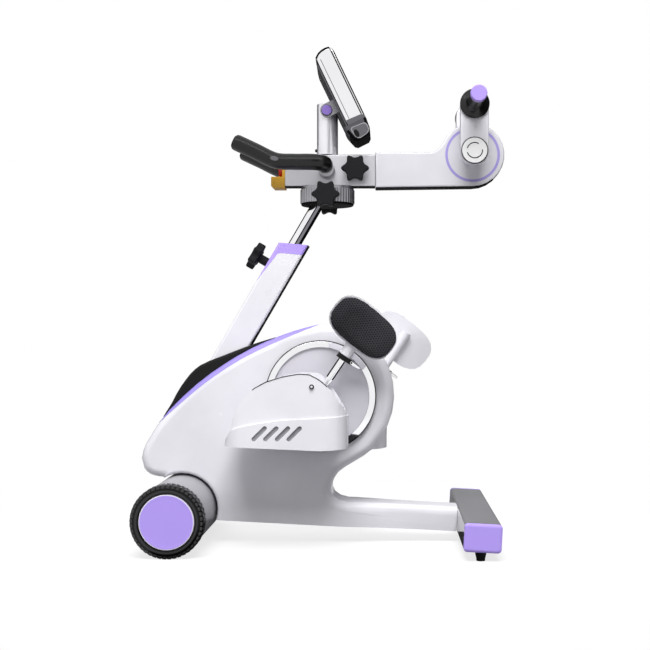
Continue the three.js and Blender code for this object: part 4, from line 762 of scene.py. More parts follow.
def facing(side: Side, x: float, y: float, z: float) -> Matrix:
    """A frame whose Z axis points out of the machine's side, and whose Y axis points up.

    Args:
        side: the machine's side.
        x: the frame's place, in millimetres.
        y: distance from the middle plane, in millimetres.
        z: height, in millimetres.

    Returns:
        The frame's matrix.
    """
    turn = Matrix.Rotation(QUARTER, 4, "X")
    if side is Side.RIGHT:
        turn = Matrix.Rotation(math.pi, 4, "Z") @ turn
    return Matrix.Translation(at(x, side.value * y, z)) @ turn


# The machine's sub-assemblies


@dataclass
class DressedNode:
    """A CAD node whose shape stays, smoothed and with its edges eased."""

    node: str
    body: str
    slot: str
    coats: tuple[Coat, ...]
    ease: float = 0.0
    crease: float = 32.0
    ease_from: float = 50.0
    # Tests for the second finish and those after it
    paint: tuple[FaceTest, ...] = ()
    # Planes, each a point and a normal, that part faces of two finishes
    cuts: tuple[tuple[Vector, Vector], ...] = ()

    def build(self, nodes: dict[str, bpy.types.Object]) -> None:
        """Makes the smooth copy and lets it stand for the node.

        Args:
            nodes: the CAD nodes by name.
        """
        bm = merged_copy(nodes[self.node])
        if self.ease > 0:
            ease_edges(bm, self.ease, self.ease_from)
        for place, across in self.cuts:
            everything = bm.verts[:] + bm.edges[:] + bm.faces[:]
            bmesh.ops.bisect_plane(
                bm, geom=everything, dist=CUT_WELD, plane_co=place, plane_no=across
            )
        for number, test in enumerate(self.paint, 1):
            paint_faces(bm, number, test)
        write_piece(
            f"{self.node}_skin", bm, self.body, self.coats, [self.node], self.crease
        )


def faces_down(face: bmesh.types.BMFace) -> bool:
    """Whether a face looks at the floor.

    Args:
        face: the face.

    Returns:
        True where it does.
    """
    return face.normal.z < DOWNWARD


@dataclass
class ColumnFrame:
    """The leaning column's own frame, with Z along it."""

    top_x: float = -70.0
    top_z: float = 685.0
    lean: float = 59.8
    depth: float = 62.0
    # Depth of the band along the column's underside that is painted black as shade
    back_edge: float = 0.3

    def matrix(self) -> Matrix:
        """From the column's frame to the machine's."""
        turn = Matrix.Rotation(math.radians(90 - self.lean), 4, "Y")
        return Matrix.Translation(at(self.top_x, 0, self.top_z)) @ turn

    def back_cut(self) -> tuple[Vector, Vector]:
        """The plane that parts the column's white walls from its underside, which is painted black as
        shade.
        """
        frame = self.matrix()
        return frame @ at(self.depth / 2 - self.back_edge, 0, 0), frame.to_3x3() @ Vector((1, 0, 0))

    def is_back(self, face: bmesh.types.BMFace) -> bool:
        """Whether a face belongs to the column's underside, which looks at the user and is painted black as
        shade.
        """
        spot = self.matrix().inverted() @ face.calc_center_median()
        return spot.x > (self.depth / 2 - self.back_edge) * MM


@dataclass
class StarKnob:
    """Moulded clamping knob with six lobes and a turned hub."""

    lobes: int = 6
    radius: float = 32.0
    waist: float = 23.6
    thickness: float = 19.0
    hub: float = 10.5
    lobe_share: float = 1.6
    ease: float = 3.2

    def outline(self) -> Outline:
        """The lobed outline, with one lobe along X.

        Returns:
            The outline's points.
        """

        def reach(angle: float) -> float:
            """The distance from the spindle at an angle."""
            rise = ((1 + math.cos(self.lobes * angle)) / 2) ** self.lobe_share
            return self.waist + (self.radius - self.waist) * rise

        return polar(self.lobes * 20, reach)

    def build(self, name: str, body: str, place: Matrix, back: float, root: float) -> None:
        """Makes the knob.

        Args:
            name: the CAD node that it stands for.
            body: its body.
            place: a frame with Z along the spindle, outwards.
            back: the head's back face along the spindle, in millimetres.
            root: where the hub starts.
        """
        head = pushed(
            self.outline(), self.thickness, place @ Matrix.Translation(at(0, 0, back)), self.ease, 4
        )
        hub = spun([(0, root), (self.hub, root), (self.hub, back + 2), (0, back + 2)], place, 48)
        write_piece(f"{name}_star", joined([head, hub]), body, [Coat.KNOB], [name])


@dataclass
class Wheels:
    """Front wheels: slanted tread blocks, a smooth sidewall and a pressed lavender cover."""

    x: float = -322.0
    radius: float = 79.0
    inner: float = 200.0
    width: float = 42.0
    face: float = 58.5
    blocks: int = 44
    tread_depth: float = 1.5
    # A block's share of its pitch, and what is left of its width on top
    block_share: float = 0.8
    block_top: float = 0.86
    slant: float = 8.0
    sidewall: float = 72.0
    shoulder: tuple[float, float] = (63.5, 69.0)

    def build(self) -> None:
        """Makes both wheels."""
        for side in Side:
            body = f"wheel_{side.word}"
            self.build_tyre(side, body)
            self.build_cover(side, body)

    def build_tyre(self, side: Side, body: str) -> None:
        """Makes the tyre: a turned carcass and two rows of slanted blocks.

        Args:
            side: the machine's side.
            body: the wheel's body.
        """
        place = facing(side, self.x, self.inner + self.width / 2, self.radius)
        half = self.width / 2
        deep = self.radius - self.tread_depth
        profile = [
            (60.2, -half + 1), (60.2, half - 2.6), (61.2, half - 1.4), (63, half - 0.9), (67, half - 0.9),
            (68, half - 1.6), (71.5, half - 2.4), (74.5, half - 4.2), (deep, half - 8), (deep, -half + 8),
            (74.5, -half + 4.2), (68, -half + 1.6), (63, -half + 0.9), (60.2, -half + 1),
        ]
        carcass = spun(profile, place, 120)
        middle = place.inverted()
        paint_faces(carcass, 1, lambda face: self.is_sidewall(middle @ face.calc_center_median()))
        paint_faces(carcass, 3, lambda face: self.is_shoulder(middle @ face.calc_center_median()))
        shapes = [carcass]
        for row in (1, -1):
            for number in range(self.blocks):
                turn = FULL_TURN * (number + (0.5 if row < 0 else 0)) / self.blocks
                shapes.append(self.block(place @ Matrix.Rotation(turn, 4, "Z"), row))
        write_piece(f"tyre_tread_{side.word}", joined(shapes), body,
                    [Coat.TYRE, Coat.SIDEWALL, Coat.TREAD, Coat.SHOULDER], [f"tyre_{side.word}"])

    def is_sidewall(self, spot: Vector) -> bool:
        """Whether a point in the wheel's frame lies on the smooth sidewall."""
        return spot.z > 0 and math.hypot(spot.x, spot.y) < self.sidewall * MM

    def is_shoulder(self, spot: Vector) -> bool:
        """Whether a point in the wheel's frame lies on the rounded ring of the sidewall, which is drawn
        lighter as painted sheen.
        """
        low, high = self.shoulder
        return spot.z > 0 and low * MM < math.hypot(spot.x, spot.y) < high * MM

    def block(self, place: Matrix, row: int) -> bmesh.types.BMesh:
        """Makes one tread block that bends over the shoulder.

        Args:
            place: the wheel's frame, turned to the block.
            row: 1 for the outer row, -1 for the inner row.

        Returns:
            The block.
        """
        half = self.width / 2
        wide = math.pi * self.radius / self.blocks * self.block_share
        top = self.radius - 0.05
        low = self.radius - self.tread_depth - 1.5
        rows = [(row * 1.4, low, top, 0.0), (row * (half - 7), low, top, self.slant * 0.7),
                (row * (half - 2.9), 71.0, top - 2.4, self.slant)]
        bm = bmesh.new()
        rings = []
        narrow = wide * self.block_top
        for along, under, over, shift in rows:
            corners = ((under, -wide), (over, -narrow), (over, narrow), (under, wide))
            rings.append(
                [bm.verts.new(place @ at(radial, shift + edge, along)) for radial, edge in corners]
            )
        for first, second in zip(rings, rings[1:]):
            for k in range(4):
                bm.faces.new((first[k], first[(k + 1) % 4], second[(k + 1) % 4], second[k]))
        bm.faces.new(rings[0][::-1])
        bm.faces.new(rings[-1])
        bmesh.ops.recalc_face_normals(bm, faces=bm.faces)
        ease_edges(bm, 0.5, 30, 1)
        # The blocks get the lighter rubber of painted sheen
        paint_faces(bm, 2, lambda face: True)
        return bm

    def build_cover(self, side: Side, body: str) -> None:
        """Makes the hub: rolled rim, shallow dish and the hollow behind it.

        Args:
            side: the machine's side.
            body: the wheel's body.
        """
        out = self.width / 2 - 2
        profile = [
            (0, out - 0.8), (self.face - 9, out - 0.8), (self.face - 6, out - 0.2), (self.face - 1.6, out),
            (self.face, out - 0.4), (59.7, out - 2.4), (59.7, -18), (52.7, -18), (52.7, out - 6),
            (19, out - 6), (19, -20), (10.6, -20), (10.6, out - 12), (0, out - 12),
        ]
        place = facing(side, self.x, self.inner + self.width / 2, self.radius)
        cover = spun(profile, place, 96)
        middle = place.inverted()
        # The cover's edge gets the pale ring of painted highlight
        paint_faces(cover, 1, lambda face: self.is_rim(middle @ face.calc_center_median(), out))
        write_piece(
            f"hub_cover_{side.word}", cover, body, [Coat.LAVENDER, Coat.PALE_RIM],
            [f"wheel_hub_{side.word}"],
        )

    def is_rim(self, spot: Vector, out: float) -> bool:
        """Whether a point in the wheel's frame lies on the cover's edge, which gets a pale painted
        highlight.
        """
        return spot.z > (out - 2) * MM and math.hypot(spot.x, spot.y) > (self.face - 1.6) * MM


@dataclass
class SideDisc:
    """Disc over the crank: a grey plate in a bright rolled ring."""

    x: float = -5.0
    z: float = 337.0
    radius: float = 124.5
    ring: float = 14.5
    back: float = 62.3
    depth: float = 12.0
    hole: float = 13.0
    # How far the ring stands above the plate's edge, and the width of the black ring of painted shade in
    # the gap round it
    ring_rise: float = 2.4
    gasket: float = 1.6

    def build(self, side: Side) -> None:
        """Makes the plate and its ring.

        Args:
            side: the machine's side.
        """
        place = facing(side, self.x, self.back, self.z)
        inner = self.radius - self.ring
        plate = spun(
            [(self.hole, 0.2), (inner + 1, 0.2), (inner + 1, self.depth - 2.2),
             (self.hole + 1, self.depth - 2.2), (self.hole, self.depth - 3), (self.hole, 0.2)],
            place,
            128,
        )
        write_piece(
            f"disc_plate_{side.word}", plate, "base", [Coat.SILVER_PAINT],
            [f"disc_cover_{side.word}"],
        )
        high = self.depth + self.ring_rise
        outer = self.radius + self.gasket
        ring = spun(
            [(inner, self.depth - 4), (inner, high - 0.5), (inner + 0.6, high),
             (self.radius - 1.0, high - 4.8), (self.radius, high - 5.8), (self.radius, 0), (inner + 1.5, 0),
             (inner, self.depth - 4)],
            place,
            128,
        )
        write_piece(f"disc_ring_{side.word}", ring, "base", [Coat.CHROME])
        # A black ring of painted shade in the gap between the bright ring and the housing
        gasket = spun(
            [(self.radius - 0.4, 1), (self.radius - 0.4, high - 5.2), (outer, high - 5.2),
             (outer, 1), (self.radius - 0.4, 1)],
            place,
            128,
        )
        write_piece(f"disc_gasket_{side.word}", gasket, "base", [Coat.UNDER_BLACK])


@dataclass
class SwivelHead:
    """Turntable, head tube, handlebars, end cap with stop button, and the console's post."""

    x: float = 7.0
    table_z: float = 780.0
    table_height: float = 38.0
    table_radius: float = 63.0
    flutes: int = 48
    flute_depth: float = 1.4
    bore: float = 20.4
    grip_radius: float = 18.4
    # Length of the handlebar's rounded end
    grip_round: float = 9.0
    # Height of the turntable's knobs above its foot, and their heads' distance from its axis
    knob_rise: float = 13.0
    knob_back: float = 76.0
    # The knob on the head tube: X, Z, and the distances of its head and its hub from the middle
    tube_knob: tuple[float, float, float, float] = (72.5, 857.0, 36.0, 22.3)
    # The plates on the handlebars and the stop button: X and Z; the plates' slope in degrees
    pulse_place: tuple[float, float] = (-108.0, 872.0)
    pulse_slope: float = -12.0
    stop_place: tuple[float, float] = (-96.6, 861.0)
    hinge_y: float = 31.1
    hinge_z: float = 992.7
    hinge_cap: float = 11.7
    # The screw and the nut beside the post: X from the post's axis, and Z
    screw_place: tuple[float, float] = (-24.2, 904.0)
    nut_place: tuple[float, float] = (39.4, 892.3)
    # The head tube's faces below this height are its underside, painted black as shade
    underside_z: float = 822.0
    grip_path: tuple[tuple[float, float, float], ...] = (
        (-202, 75, 914), (-155, 75, 892), (-108, 75, 870), (-66, 75, 867), (-34, 75, 867),
        (-12, 72.2, 866.4), (0.7, 62, 865.5), (3.5, 53.4, 864), (3.5, 46.3, 864),
    )

    def build(self, nodes: dict[str, bpy.types.Object]) -> None:
        """Makes the head's pieces.

        Args:
            nodes: the CAD nodes by name.
        """
        self.build_table()
        knob = StarKnob()
        for side in Side:
            knob.build(
                f"turntable_knob_{side.word}",
                f"swivel_knob_{side.word}",
                facing(side, self.x, 0, self.table_z + self.knob_rise),
                self.knob_back,
                self.table_radius + 0.4,
            )
            self.build_grip(side)
            self.build_hinge_cap(side)
        x, z, back, root = self.tube_knob
        knob.build("tube_knob", "reach_knob", facing(Side.LEFT, x, 0, z), back, root)
        # The tube's underside is painted black as shade
        silver = (Coat.SATIN_ALU, Coat.UNDER_BLACK)
        under = (self.is_under,)
        DressedNode("head_tube", "head", "silver_metal", silver, 0.6, paint=under).build(nodes)
        DressedNode("tube_end_cap", "head", "cap_yellow", (Coat.YELLOW,), 1.0).build(nodes)
        DressedNode("console_post", "head", "silver_metal", (Coat.TURNED_ALU,), 0.5).build(nodes)
        self.build_stop()
        self.build_screws()

    def is_under(self, face: bmesh.types.BMFace) -> bool:
        """Whether a face is the head tube's underside, which is painted black as shade."""
        return faces_down(face) and face.calc_center_median().z < self.underside_z * MM

    def build_table(self) -> None:
        """Makes the fluted rim of the turntable."""

        def reach(angle: float) -> float:
            """The rim's radius at an angle."""
            dip = (1 - math.cos(self.flutes * angle)) / 2
            return self.table_radius - self.flute_depth * dip**2

        place = Matrix.Translation(at(self.x, 0, self.table_z))
        rim = pushed(polar(self.flutes * 8, reach), self.table_height - 6, place, 0.8, 2)
        top = spun(
            [(self.bore, self.table_height - 6.2), (self.table_radius - 2, self.table_height - 6.2),
             (self.table_radius - 2, self.table_height - 1), (self.table_radius - 3, self.table_height),
             (self.bore, self.table_height), (self.bore, self.table_height - 6.2)],
            place,
            128,
        )
        write_piece(
            "turntable_rim", joined([rim, top]), "head", [Coat.FLUTED_ALU],
            ["turntable"],
        )

    def build_grip(self, side: Side) -> None:
        """Makes one foam-covered handlebar with its rounded end and pulse plate.

        Args:
            side: the machine's side.
        """
        path = smooth_path([at(x, side.value * y, z) for x, y, z in self.grip_path])
        radii = []
        run = 0.0
        for number, point in enumerate(path):
            if number:
                run += (point - path[number - 1]).length / MM
            near = min(1.0, (run + 0.6) / self.grip_round)
            radii.append(self.grip_radius * (0.5 + 0.5 * math.sqrt(1 - (1 - near) ** 2)))
        write_piece(f"handlebar_sleeve_{side.word}", sweep(path, radii), "head",
                    [Coat.GRIP_FOAM], [f"handlebar_{side.word}"])
        tilt = Matrix.Rotation(math.radians(self.pulse_slope), 4, "Z")
        x, z = self.pulse_place
        outside = self.grip_path[0][1] + self.grip_radius - 1.2
        place = facing(side, x, outside, z) @ tilt
        plate = pushed(oval(9.5, 5, 40), 1.6, place, 0.6, 2)
        write_piece(f"pulse_plate_{side.word}", plate, "head", [Coat.PANEL_GREY])

    def build_hinge_cap(self, side: Side) -> None:
        """Makes the violet cap over the console's hinge pin, and the black seat round it.

        Args:
            side: the machine's side.
        """
        place = facing(side, self.x, self.hinge_y, self.hinge_z)
        wide = self.hinge_cap
        profile = [(0, 0), (wide, 0), (wide, 2.6), (wide - 0.8, 3.3), (0, 3.6)]
        write_piece(
            f"hinge_cap_{side.word}", spun(profile, place, 64), "head", [Coat.PIVOT_CAP]
        )
        seat = [(wide - 0.1, 0), (wide + 0.9, 0), (wide + 0.9, 1.6), (wide - 0.1, 1.6), (wide - 0.1, 0)]
        write_piece(f"hinge_cap_seat_{side.word}", spun(seat, place, 64), "head",
                    [Coat.SATIN_BLACK])

    def build_stop(self) -> None:
        """Makes the red stop button with its stem."""
        x, z = self.stop_place
        lift = Matrix.Translation(at(x, 0, z)) @ Matrix.Rotation(-QUARTER, 4, "Y")
        profile = [
            (0, -15), (7, -15), (7, 0), (17.5, 0), (19, 1.2), (19, 6.4), (18, 8.4), (15.5, 9.4), (0, 9.7),
        ]
        write_piece(
            "stop_mushroom", spun(profile, lift, 64), "stop", [Coat.RED], ["stop_button"]
        )

    def build_screws(self) -> None:
        """Makes the small black screw on the post and the low nut on the tube beside it."""
        x, z = self.screw_place
        place = Matrix.Translation(at(self.x + x, 0, z)) @ Matrix.Rotation(-QUARTER, 4, "Y")
        screw = spun([(0, -1), (3.8, -1), (3.8, 2.6), (2.4, 4.6), (0, 5.0)], place, 24)
        x, z = self.nut_place
        place = Matrix.Translation(at(self.x + x, 0, z))
        nut = spun([(0, -0.4), (5.6, -0.4), (5.6, 1.6), (4.4, 2.4), (0, 2.4)], place, 6)
        write_piece("post_screws", joined([screw, nut]), "head", [Coat.SATIN_BLACK])


@dataclass
class ConsoleUnit:
    """Console: dark back cover, bright frame, black lines, display glass, keys and hinge ears."""

    x: float = 7.0
    z: float = 992.7
    tilt: float = 25.7
    half: float = 56.0
    split: float = 26.3
    face: float = 72.8
    chin: float = -57.0
    # The display glass: its half width and its top
    glass_half: float = 46.5
    glass_top: float = 112.0
    # The row of keys on the block's sloping face
    keys: int = 5
    key_pitch: float = 18.0
    key_radius: float = 6.0
    key_row: float = -72.0
    key_face: float = 69.6
    key_slope: float = -14.0
    # Lines on the side wall: X of the seam behind the glass, the frame's back and its groove
    seam_x: float = 66.0
    back_x: float = 27.4
    groove_x: float = 36.3
    # The panel on the block's side, the middle that its floor shrinks to, and the black spot of painted
    # shade at its deep end
    panel: tuple[tuple[float, float], ...] = (
        (29.5, -67), (33, -64.5), (62, -66.5), (66.5, -69.5), (68.5, -75), (68, -84), (64.5, -89.5),
        (58, -93), (41, -95.5), (35.5, -93.5), (31.5, -87), (29, -73),
    )
    panel_middle: tuple[float, float] = (49.0, -80.0)
    floor_share: float = 0.88
    hollow: tuple[float, float] = (37.5, -82.0)
    # The hinge ears: their front, half height, side and the front of their middle part
    ear: tuple[float, float, float, float] = (25.5, 16.2, 31.2, 17.0)
    crown: tuple[tuple[float, float], ...] = (
        (26.5, 110), (28.3, 114.6), (36.9, 121.0), (46, 124.2), (55.8, 125.2), (63.5, 124.2),
        (66.5, 122.8), (66, 118.5), (62, 120.6), (55.8, 121.4), (46, 120.4), (37.4, 117.6), (28.4, 110),
    )

    def matrix(self) -> Matrix:
        """From the console's frame, with X out of the screen, to the machine's."""
        turn = Matrix.Rotation(math.radians(-self.tilt), 4, "Y")
        return Matrix.Translation(at(self.x, 0, self.z)) @ turn

    def front(self, depth: float) -> Matrix:
        """A frame on the console's face, with Z out of it and Y up."""
        turn = Matrix.Rotation(QUARTER, 4, "Y") @ Matrix.Rotation(QUARTER, 4, "Z")
        return self.matrix() @ Matrix.Translation(at(depth, 0, 0)) @ turn

    def rounded(self, width: float, low: float, high: float, corner: float) -> Outline:
        """A rounded rectangle's outline on the console's face.

        Args:
            width: its half width in millimetres.
            low: its lower edge.
            high: its upper edge.
            corner: its corners' radius.

        Returns:
            The outline's points.
        """
        points = []
        for x, y, start in (
            (width - corner, low + corner, -QUARTER), (width - corner, high - corner, 0.0),
            (corner - width, high - corner, QUARTER), (corner - width, low + corner, math.pi),
        ):
            for step in range(7):
                angle = start + QUARTER * step / 6
                points.append((x + corner * math.cos(angle), y + corner * math.sin(angle)))
        return points

    def build(self, nodes: dict[str, bpy.types.Object]) -> None:
        """Makes the console's pieces.

        Args:
            nodes: the CAD nodes by name.
        """
        DressedNode("console_case", "console", "console_grey",
                    (Coat.CONSOLE_GREY, Coat.UNDER_BLACK, Coat.LUG_GREY), 1.0,
                    paint=(self.is_chin, self.is_ear)).build(nodes)
        DressedNode("console_bezel", "console", "console_frame", (Coat.CHROME, Coat.SATIN_BLACK), 1.2,
                    paint=(self.is_gasket,)).build(nodes)
        pane = self.rounded(self.glass_half, self.chin + 8, self.glass_top, 3)
        glass = pushed(pane, 1.6, self.front(self.face - 4.9), 0.3, 1)
        write_piece("display_glass", glass, "console", [Coat.SCREEN])
        self.build_keys()
        for side in Side:
            self.build_lines(side)
            self.build_side_panel(side)

    def is_chin(self, face: bmesh.types.BMFace) -> bool:
        """Whether a face belongs to the block below the screen."""
        spot = self.matrix().inverted() @ face.calc_center_median()
        return spot.z < (self.chin + 0.5) * MM and spot.x > 21 * MM

    def is_ear(self, face: bmesh.types.BMFace) -> bool:
        """Whether a face belongs to a hinge ear.

        Args:
            face: the face.

        Returns:
            True where it does.
        """
        spot = self.matrix().inverted() @ face.calc_center_median()
        front, half_height, wall, middle = (size * MM for size in self.ear)
        near = spot.x < front and abs(spot.z) < half_height and abs(spot.y) < wall
        return near and (spot.x < middle or abs(spot.y) > wall - 0.6 * MM)

    def is_gasket(self, face: bmesh.types.BMFace) -> bool:
        """Whether a face lies at the bright frame's back edge or in the screen's recess.

        Args:
            face: the face.

        Returns:
            True where it does.
        """
        spot = self.matrix().inverted() @ face.calc_center_median()
        inside = abs(spot.y) < 48.5 * MM and (self.chin + 6) * MM < spot.z < 114 * MM
        return spot.x < (self.split + 1.2) * MM or inside

    def build_keys(self) -> None:
        """Makes the row of round keys on the block below the screen."""
        slope = Matrix.Rotation(math.radians(self.key_slope), 4, "X")
        wide = self.key_radius
        profile = [(0, -1.6), (wide, -1.6), (wide, 0.9), (wide - 0.8, 1.5), (0, 1.7)]
        keys = []
        for number in range(self.keys):
            across = (number - self.keys // 2) * self.key_pitch
            place = self.front(self.key_face) @ Matrix.Translation(at(across, self.key_row, 0)) @ slope
            keys.append(spun(profile, place, 40))
        write_piece("console_keys", joined(keys), "console", [Coat.KEY])

    def flank(self, side: Side, proud: float) -> Matrix:
        """A frame on the console's side wall: X out of the screen, Y up, Z out of the wall.

        Args:
            side: the machine's side.
            proud: how far out of the wall the frame lies, in millimetres.

        Returns:
            The frame's matrix.
        """
        flat = Matrix.Translation(at(0, side.value * (self.half + proud), 0))
        turn = Matrix.Rotation(QUARTER, 4, "X")
        if side is Side.RIGHT:
            turn = Matrix(((1, 0, 0, 0), (0, 0, 1, 0), (0, 1, 0, 0), (0, 0, 0, 1)))
        return self.matrix() @ flat @ turn

    def bar(self, x: float, low: float, high: float, width: float) -> Outline:
        """The outline of an upright line on the side wall."""
        left, right = x - width / 2, x + width / 2
        return [(left, low), (right, low), (right, high), (left, high)]

    def build_lines(self, side: Side) -> None:
        """Makes the groove line and the black seam along the bright frame's side.

        Args:
            side: the machine's side.
        """
        place = self.flank(side, -0.2)
        seam = pushed(self.bar(self.seam_x, -46, 119, 2.0), 0.5, place)
        back = pushed(self.bar(self.back_x, -56.5, 111, 1.8), 0.5, place)
        crown = pushed(self.crown, 0.5, place)
        write_piece(f"frame_seam_{side.word}", joined([seam, back, crown]), "console",
                    [Coat.UNDER_BLACK])
        groove = pushed(self.bar(self.groove_x, -44, 106, 1.5), 0.5, place)
        end = pushed([(27.5, -57), (72, -57), (72, -51), (64, -46.5), (29, -45)], 0.5, place)
        write_piece(
            f"frame_groove_{side.word}", joined([groove, end]), "console",
            [Coat.PANEL_GREY],
        )

    def build_side_panel(self, side: Side) -> None:
        """Makes the recessed panel on the block's side: a pale rim, a floor painted grey as shade and a
        black spot of painted shade at its deep end.

        Args:
            side: the machine's side.
        """
        place = self.flank(side, -0.3)
        rim = pushed(self.panel, 0.7, place, 0.3, 2)
        write_piece(f"chin_rim_{side.word}", rim, "console", [Coat.LUG_GREY])
        # The floor is painted grey as shade, and the deep end black as shade
        floor = pushed(shrunk(self.panel, self.floor_share, *self.panel_middle), 0.9, place, 0.2, 1)
        write_piece(f"chin_panel_{side.word}", floor, "console", [Coat.PANEL_GREY])
        deep = pushed(oval(5.5, 9.5, 28, *self.hollow), 1.1, place, 0.2, 1)
        write_piece(f"chin_hollow_{side.word}", deep, "console", [Coat.SATIN_BLACK])


@dataclass
class ArmUnit:
    """Arm drive: half shells, painted rings, two cranks with their caps, and the grips."""

    x: float = 343.0
    z: float = 891.0
    half: float = 27.0
    ring_in: float = 57.2
    ring_out: float = 63.0
    crank_y: float = 60.0
    crank_width: float = 28.0
    reach: float = 105.0
    grip_end: float = 205.0
    cap_length: float = 16.0
    cap_radius: float = 18.0
    grooves: int = 7
    # The crank cap's radius, and the dark line's width round it
    face_radius: float = 28.4
    line_width: float = 2.2
    # The broken ring on the cap: its inner and outer radius, and each arc's start and run
    arc_radii: tuple[float, float] = (16.2, 18.4)
    arcs: tuple[tuple[float, float], ...] = ((60, 105), (195, 170))

    def build(self, nodes: dict[str, bpy.types.Object]) -> None:
        """Makes the arm unit's pieces.

        Args:
            nodes: the CAD nodes by name.
        """
        for side in Side:
            word = side.word
            # The housings' downward faces are painted black as shade
            DressedNode(f"arm_housing_{word}", "arm_unit", "white_shell",
                        (Coat.ARM_SHELL, Coat.UNDER_BLACK), 1.5, paint=(faces_down,)).build(nodes)
            DressedNode(f"arm_crank_{word}", "arm_crank", "white_paint", (Coat.ENAMEL,), 0.6).build(nodes)
            self.build_ring(side)
            self.build_crank_cap(side)
            self.build_grip(side)

    def build_ring(self, side: Side) -> None:
        """Makes the lavender ring on the housing.

        Args:
            side: the machine's side.
        """
        place = facing(side, self.x, self.half - 0.1, self.z)
        profile = [(self.ring_in, 0), (self.ring_in, 0.35), (self.ring_out, 0.35), (self.ring_out, 0),
                   (self.ring_in, 0)]
        write_piece(f"arm_ring_{side.word}", spun(profile, place, 128), "arm_unit",
                    [Coat.PAINTED_RING])

    def build_crank_cap(self, side: Side) -> None:
        """Makes the cap on the crank: polished face in the white of painted highlight, dark groove line and
        a broken inner ring.

        Args:
            side: the machine's side.
        """
        place = facing(side, self.x, self.crank_y + self.crank_width + 1.5, self.z)
        wide = self.face_radius
        profile = [(0, -0.6), (wide, -0.6), (wide, 0.7), (wide - 0.8, 1.3), (12, 1.6), (0, 1.6)]
        cap = spun(profile, place, 96)
        write_piece(f"crank_cap_{side.word}", cap, "arm_crank", [Coat.CAP_WHITE])
        near, far = wide - 0.1, wide + self.line_width
        line = spun([(near, -1.2), (near, 0.6), (far, 0.6), (far, -1.2), (near, -1.2)], place, 96)
        arcs = []
        inner, outer = self.arc_radii
        for start, run in self.arcs:
            angles = [math.radians(start + run * step / 24) for step in range(25)]
            outline = [(inner * math.cos(a), inner * math.sin(a)) for a in angles]
            outline += [(outer * math.cos(a), outer * math.sin(a)) for a in reversed(angles)]
            arcs.append(pushed(outline, 0.5, place @ Matrix.Translation(at(0, 0, 1.35))))
        write_piece(f"crank_cap_lines_{side.word}", joined([line, *arcs]), "arm_crank",
                    [Coat.SATIN_BLACK])

    def build_grip(self, side: Side) -> None:
        """Makes the turned rubber grip and its lavender end cap.

        Args:
            side: the machine's side.
        """
        start = self.crank_y + self.crank_width + 0.4
        place = facing(side, self.x, 0, self.z + self.reach)
        stop = self.grip_end - self.cap_length
        profile = [(6.4, start), (31.8, start), (33.3, start + 1.6), (33.3, start + 4.4),
                   (31, start + 7.4), (25.5, start + 11), (20.5, start + 15), (17.6, start + 22)]
        first, last = start + 32, stop - 12
        for number in range(self.grooves):
            middle = first + (last - first) * number / (self.grooves - 1)
            profile += [(17.2, middle - 2.2), (16.3, middle - 0.8), (16.3, middle + 0.8),
                        (17.2, middle + 2.2)]
        profile += [(17.2, stop - 2), (17.8, stop - 1), (17.8, stop), (6.4, stop), (6.4, start)]
        body = f"hand_grip_{side.word}"
        write_piece(f"arm_grip_sleeve_{side.word}", spun(profile, place, 72), body,
                    [Coat.GRIP_FOAM], [f"arm_grip_{side.word}"])
        wide, end = self.cap_radius, self.grip_end
        cap = [(0, stop + 0.1), (wide - 1, stop + 0.1), (wide, stop + 1), (wide, end - 1.6),
               (wide - 1.6, end), (0, end)]
        write_piece(f"grip_cap_{side.word}", spun(cap, place, 72), body, [Coat.GRIP_CAP])


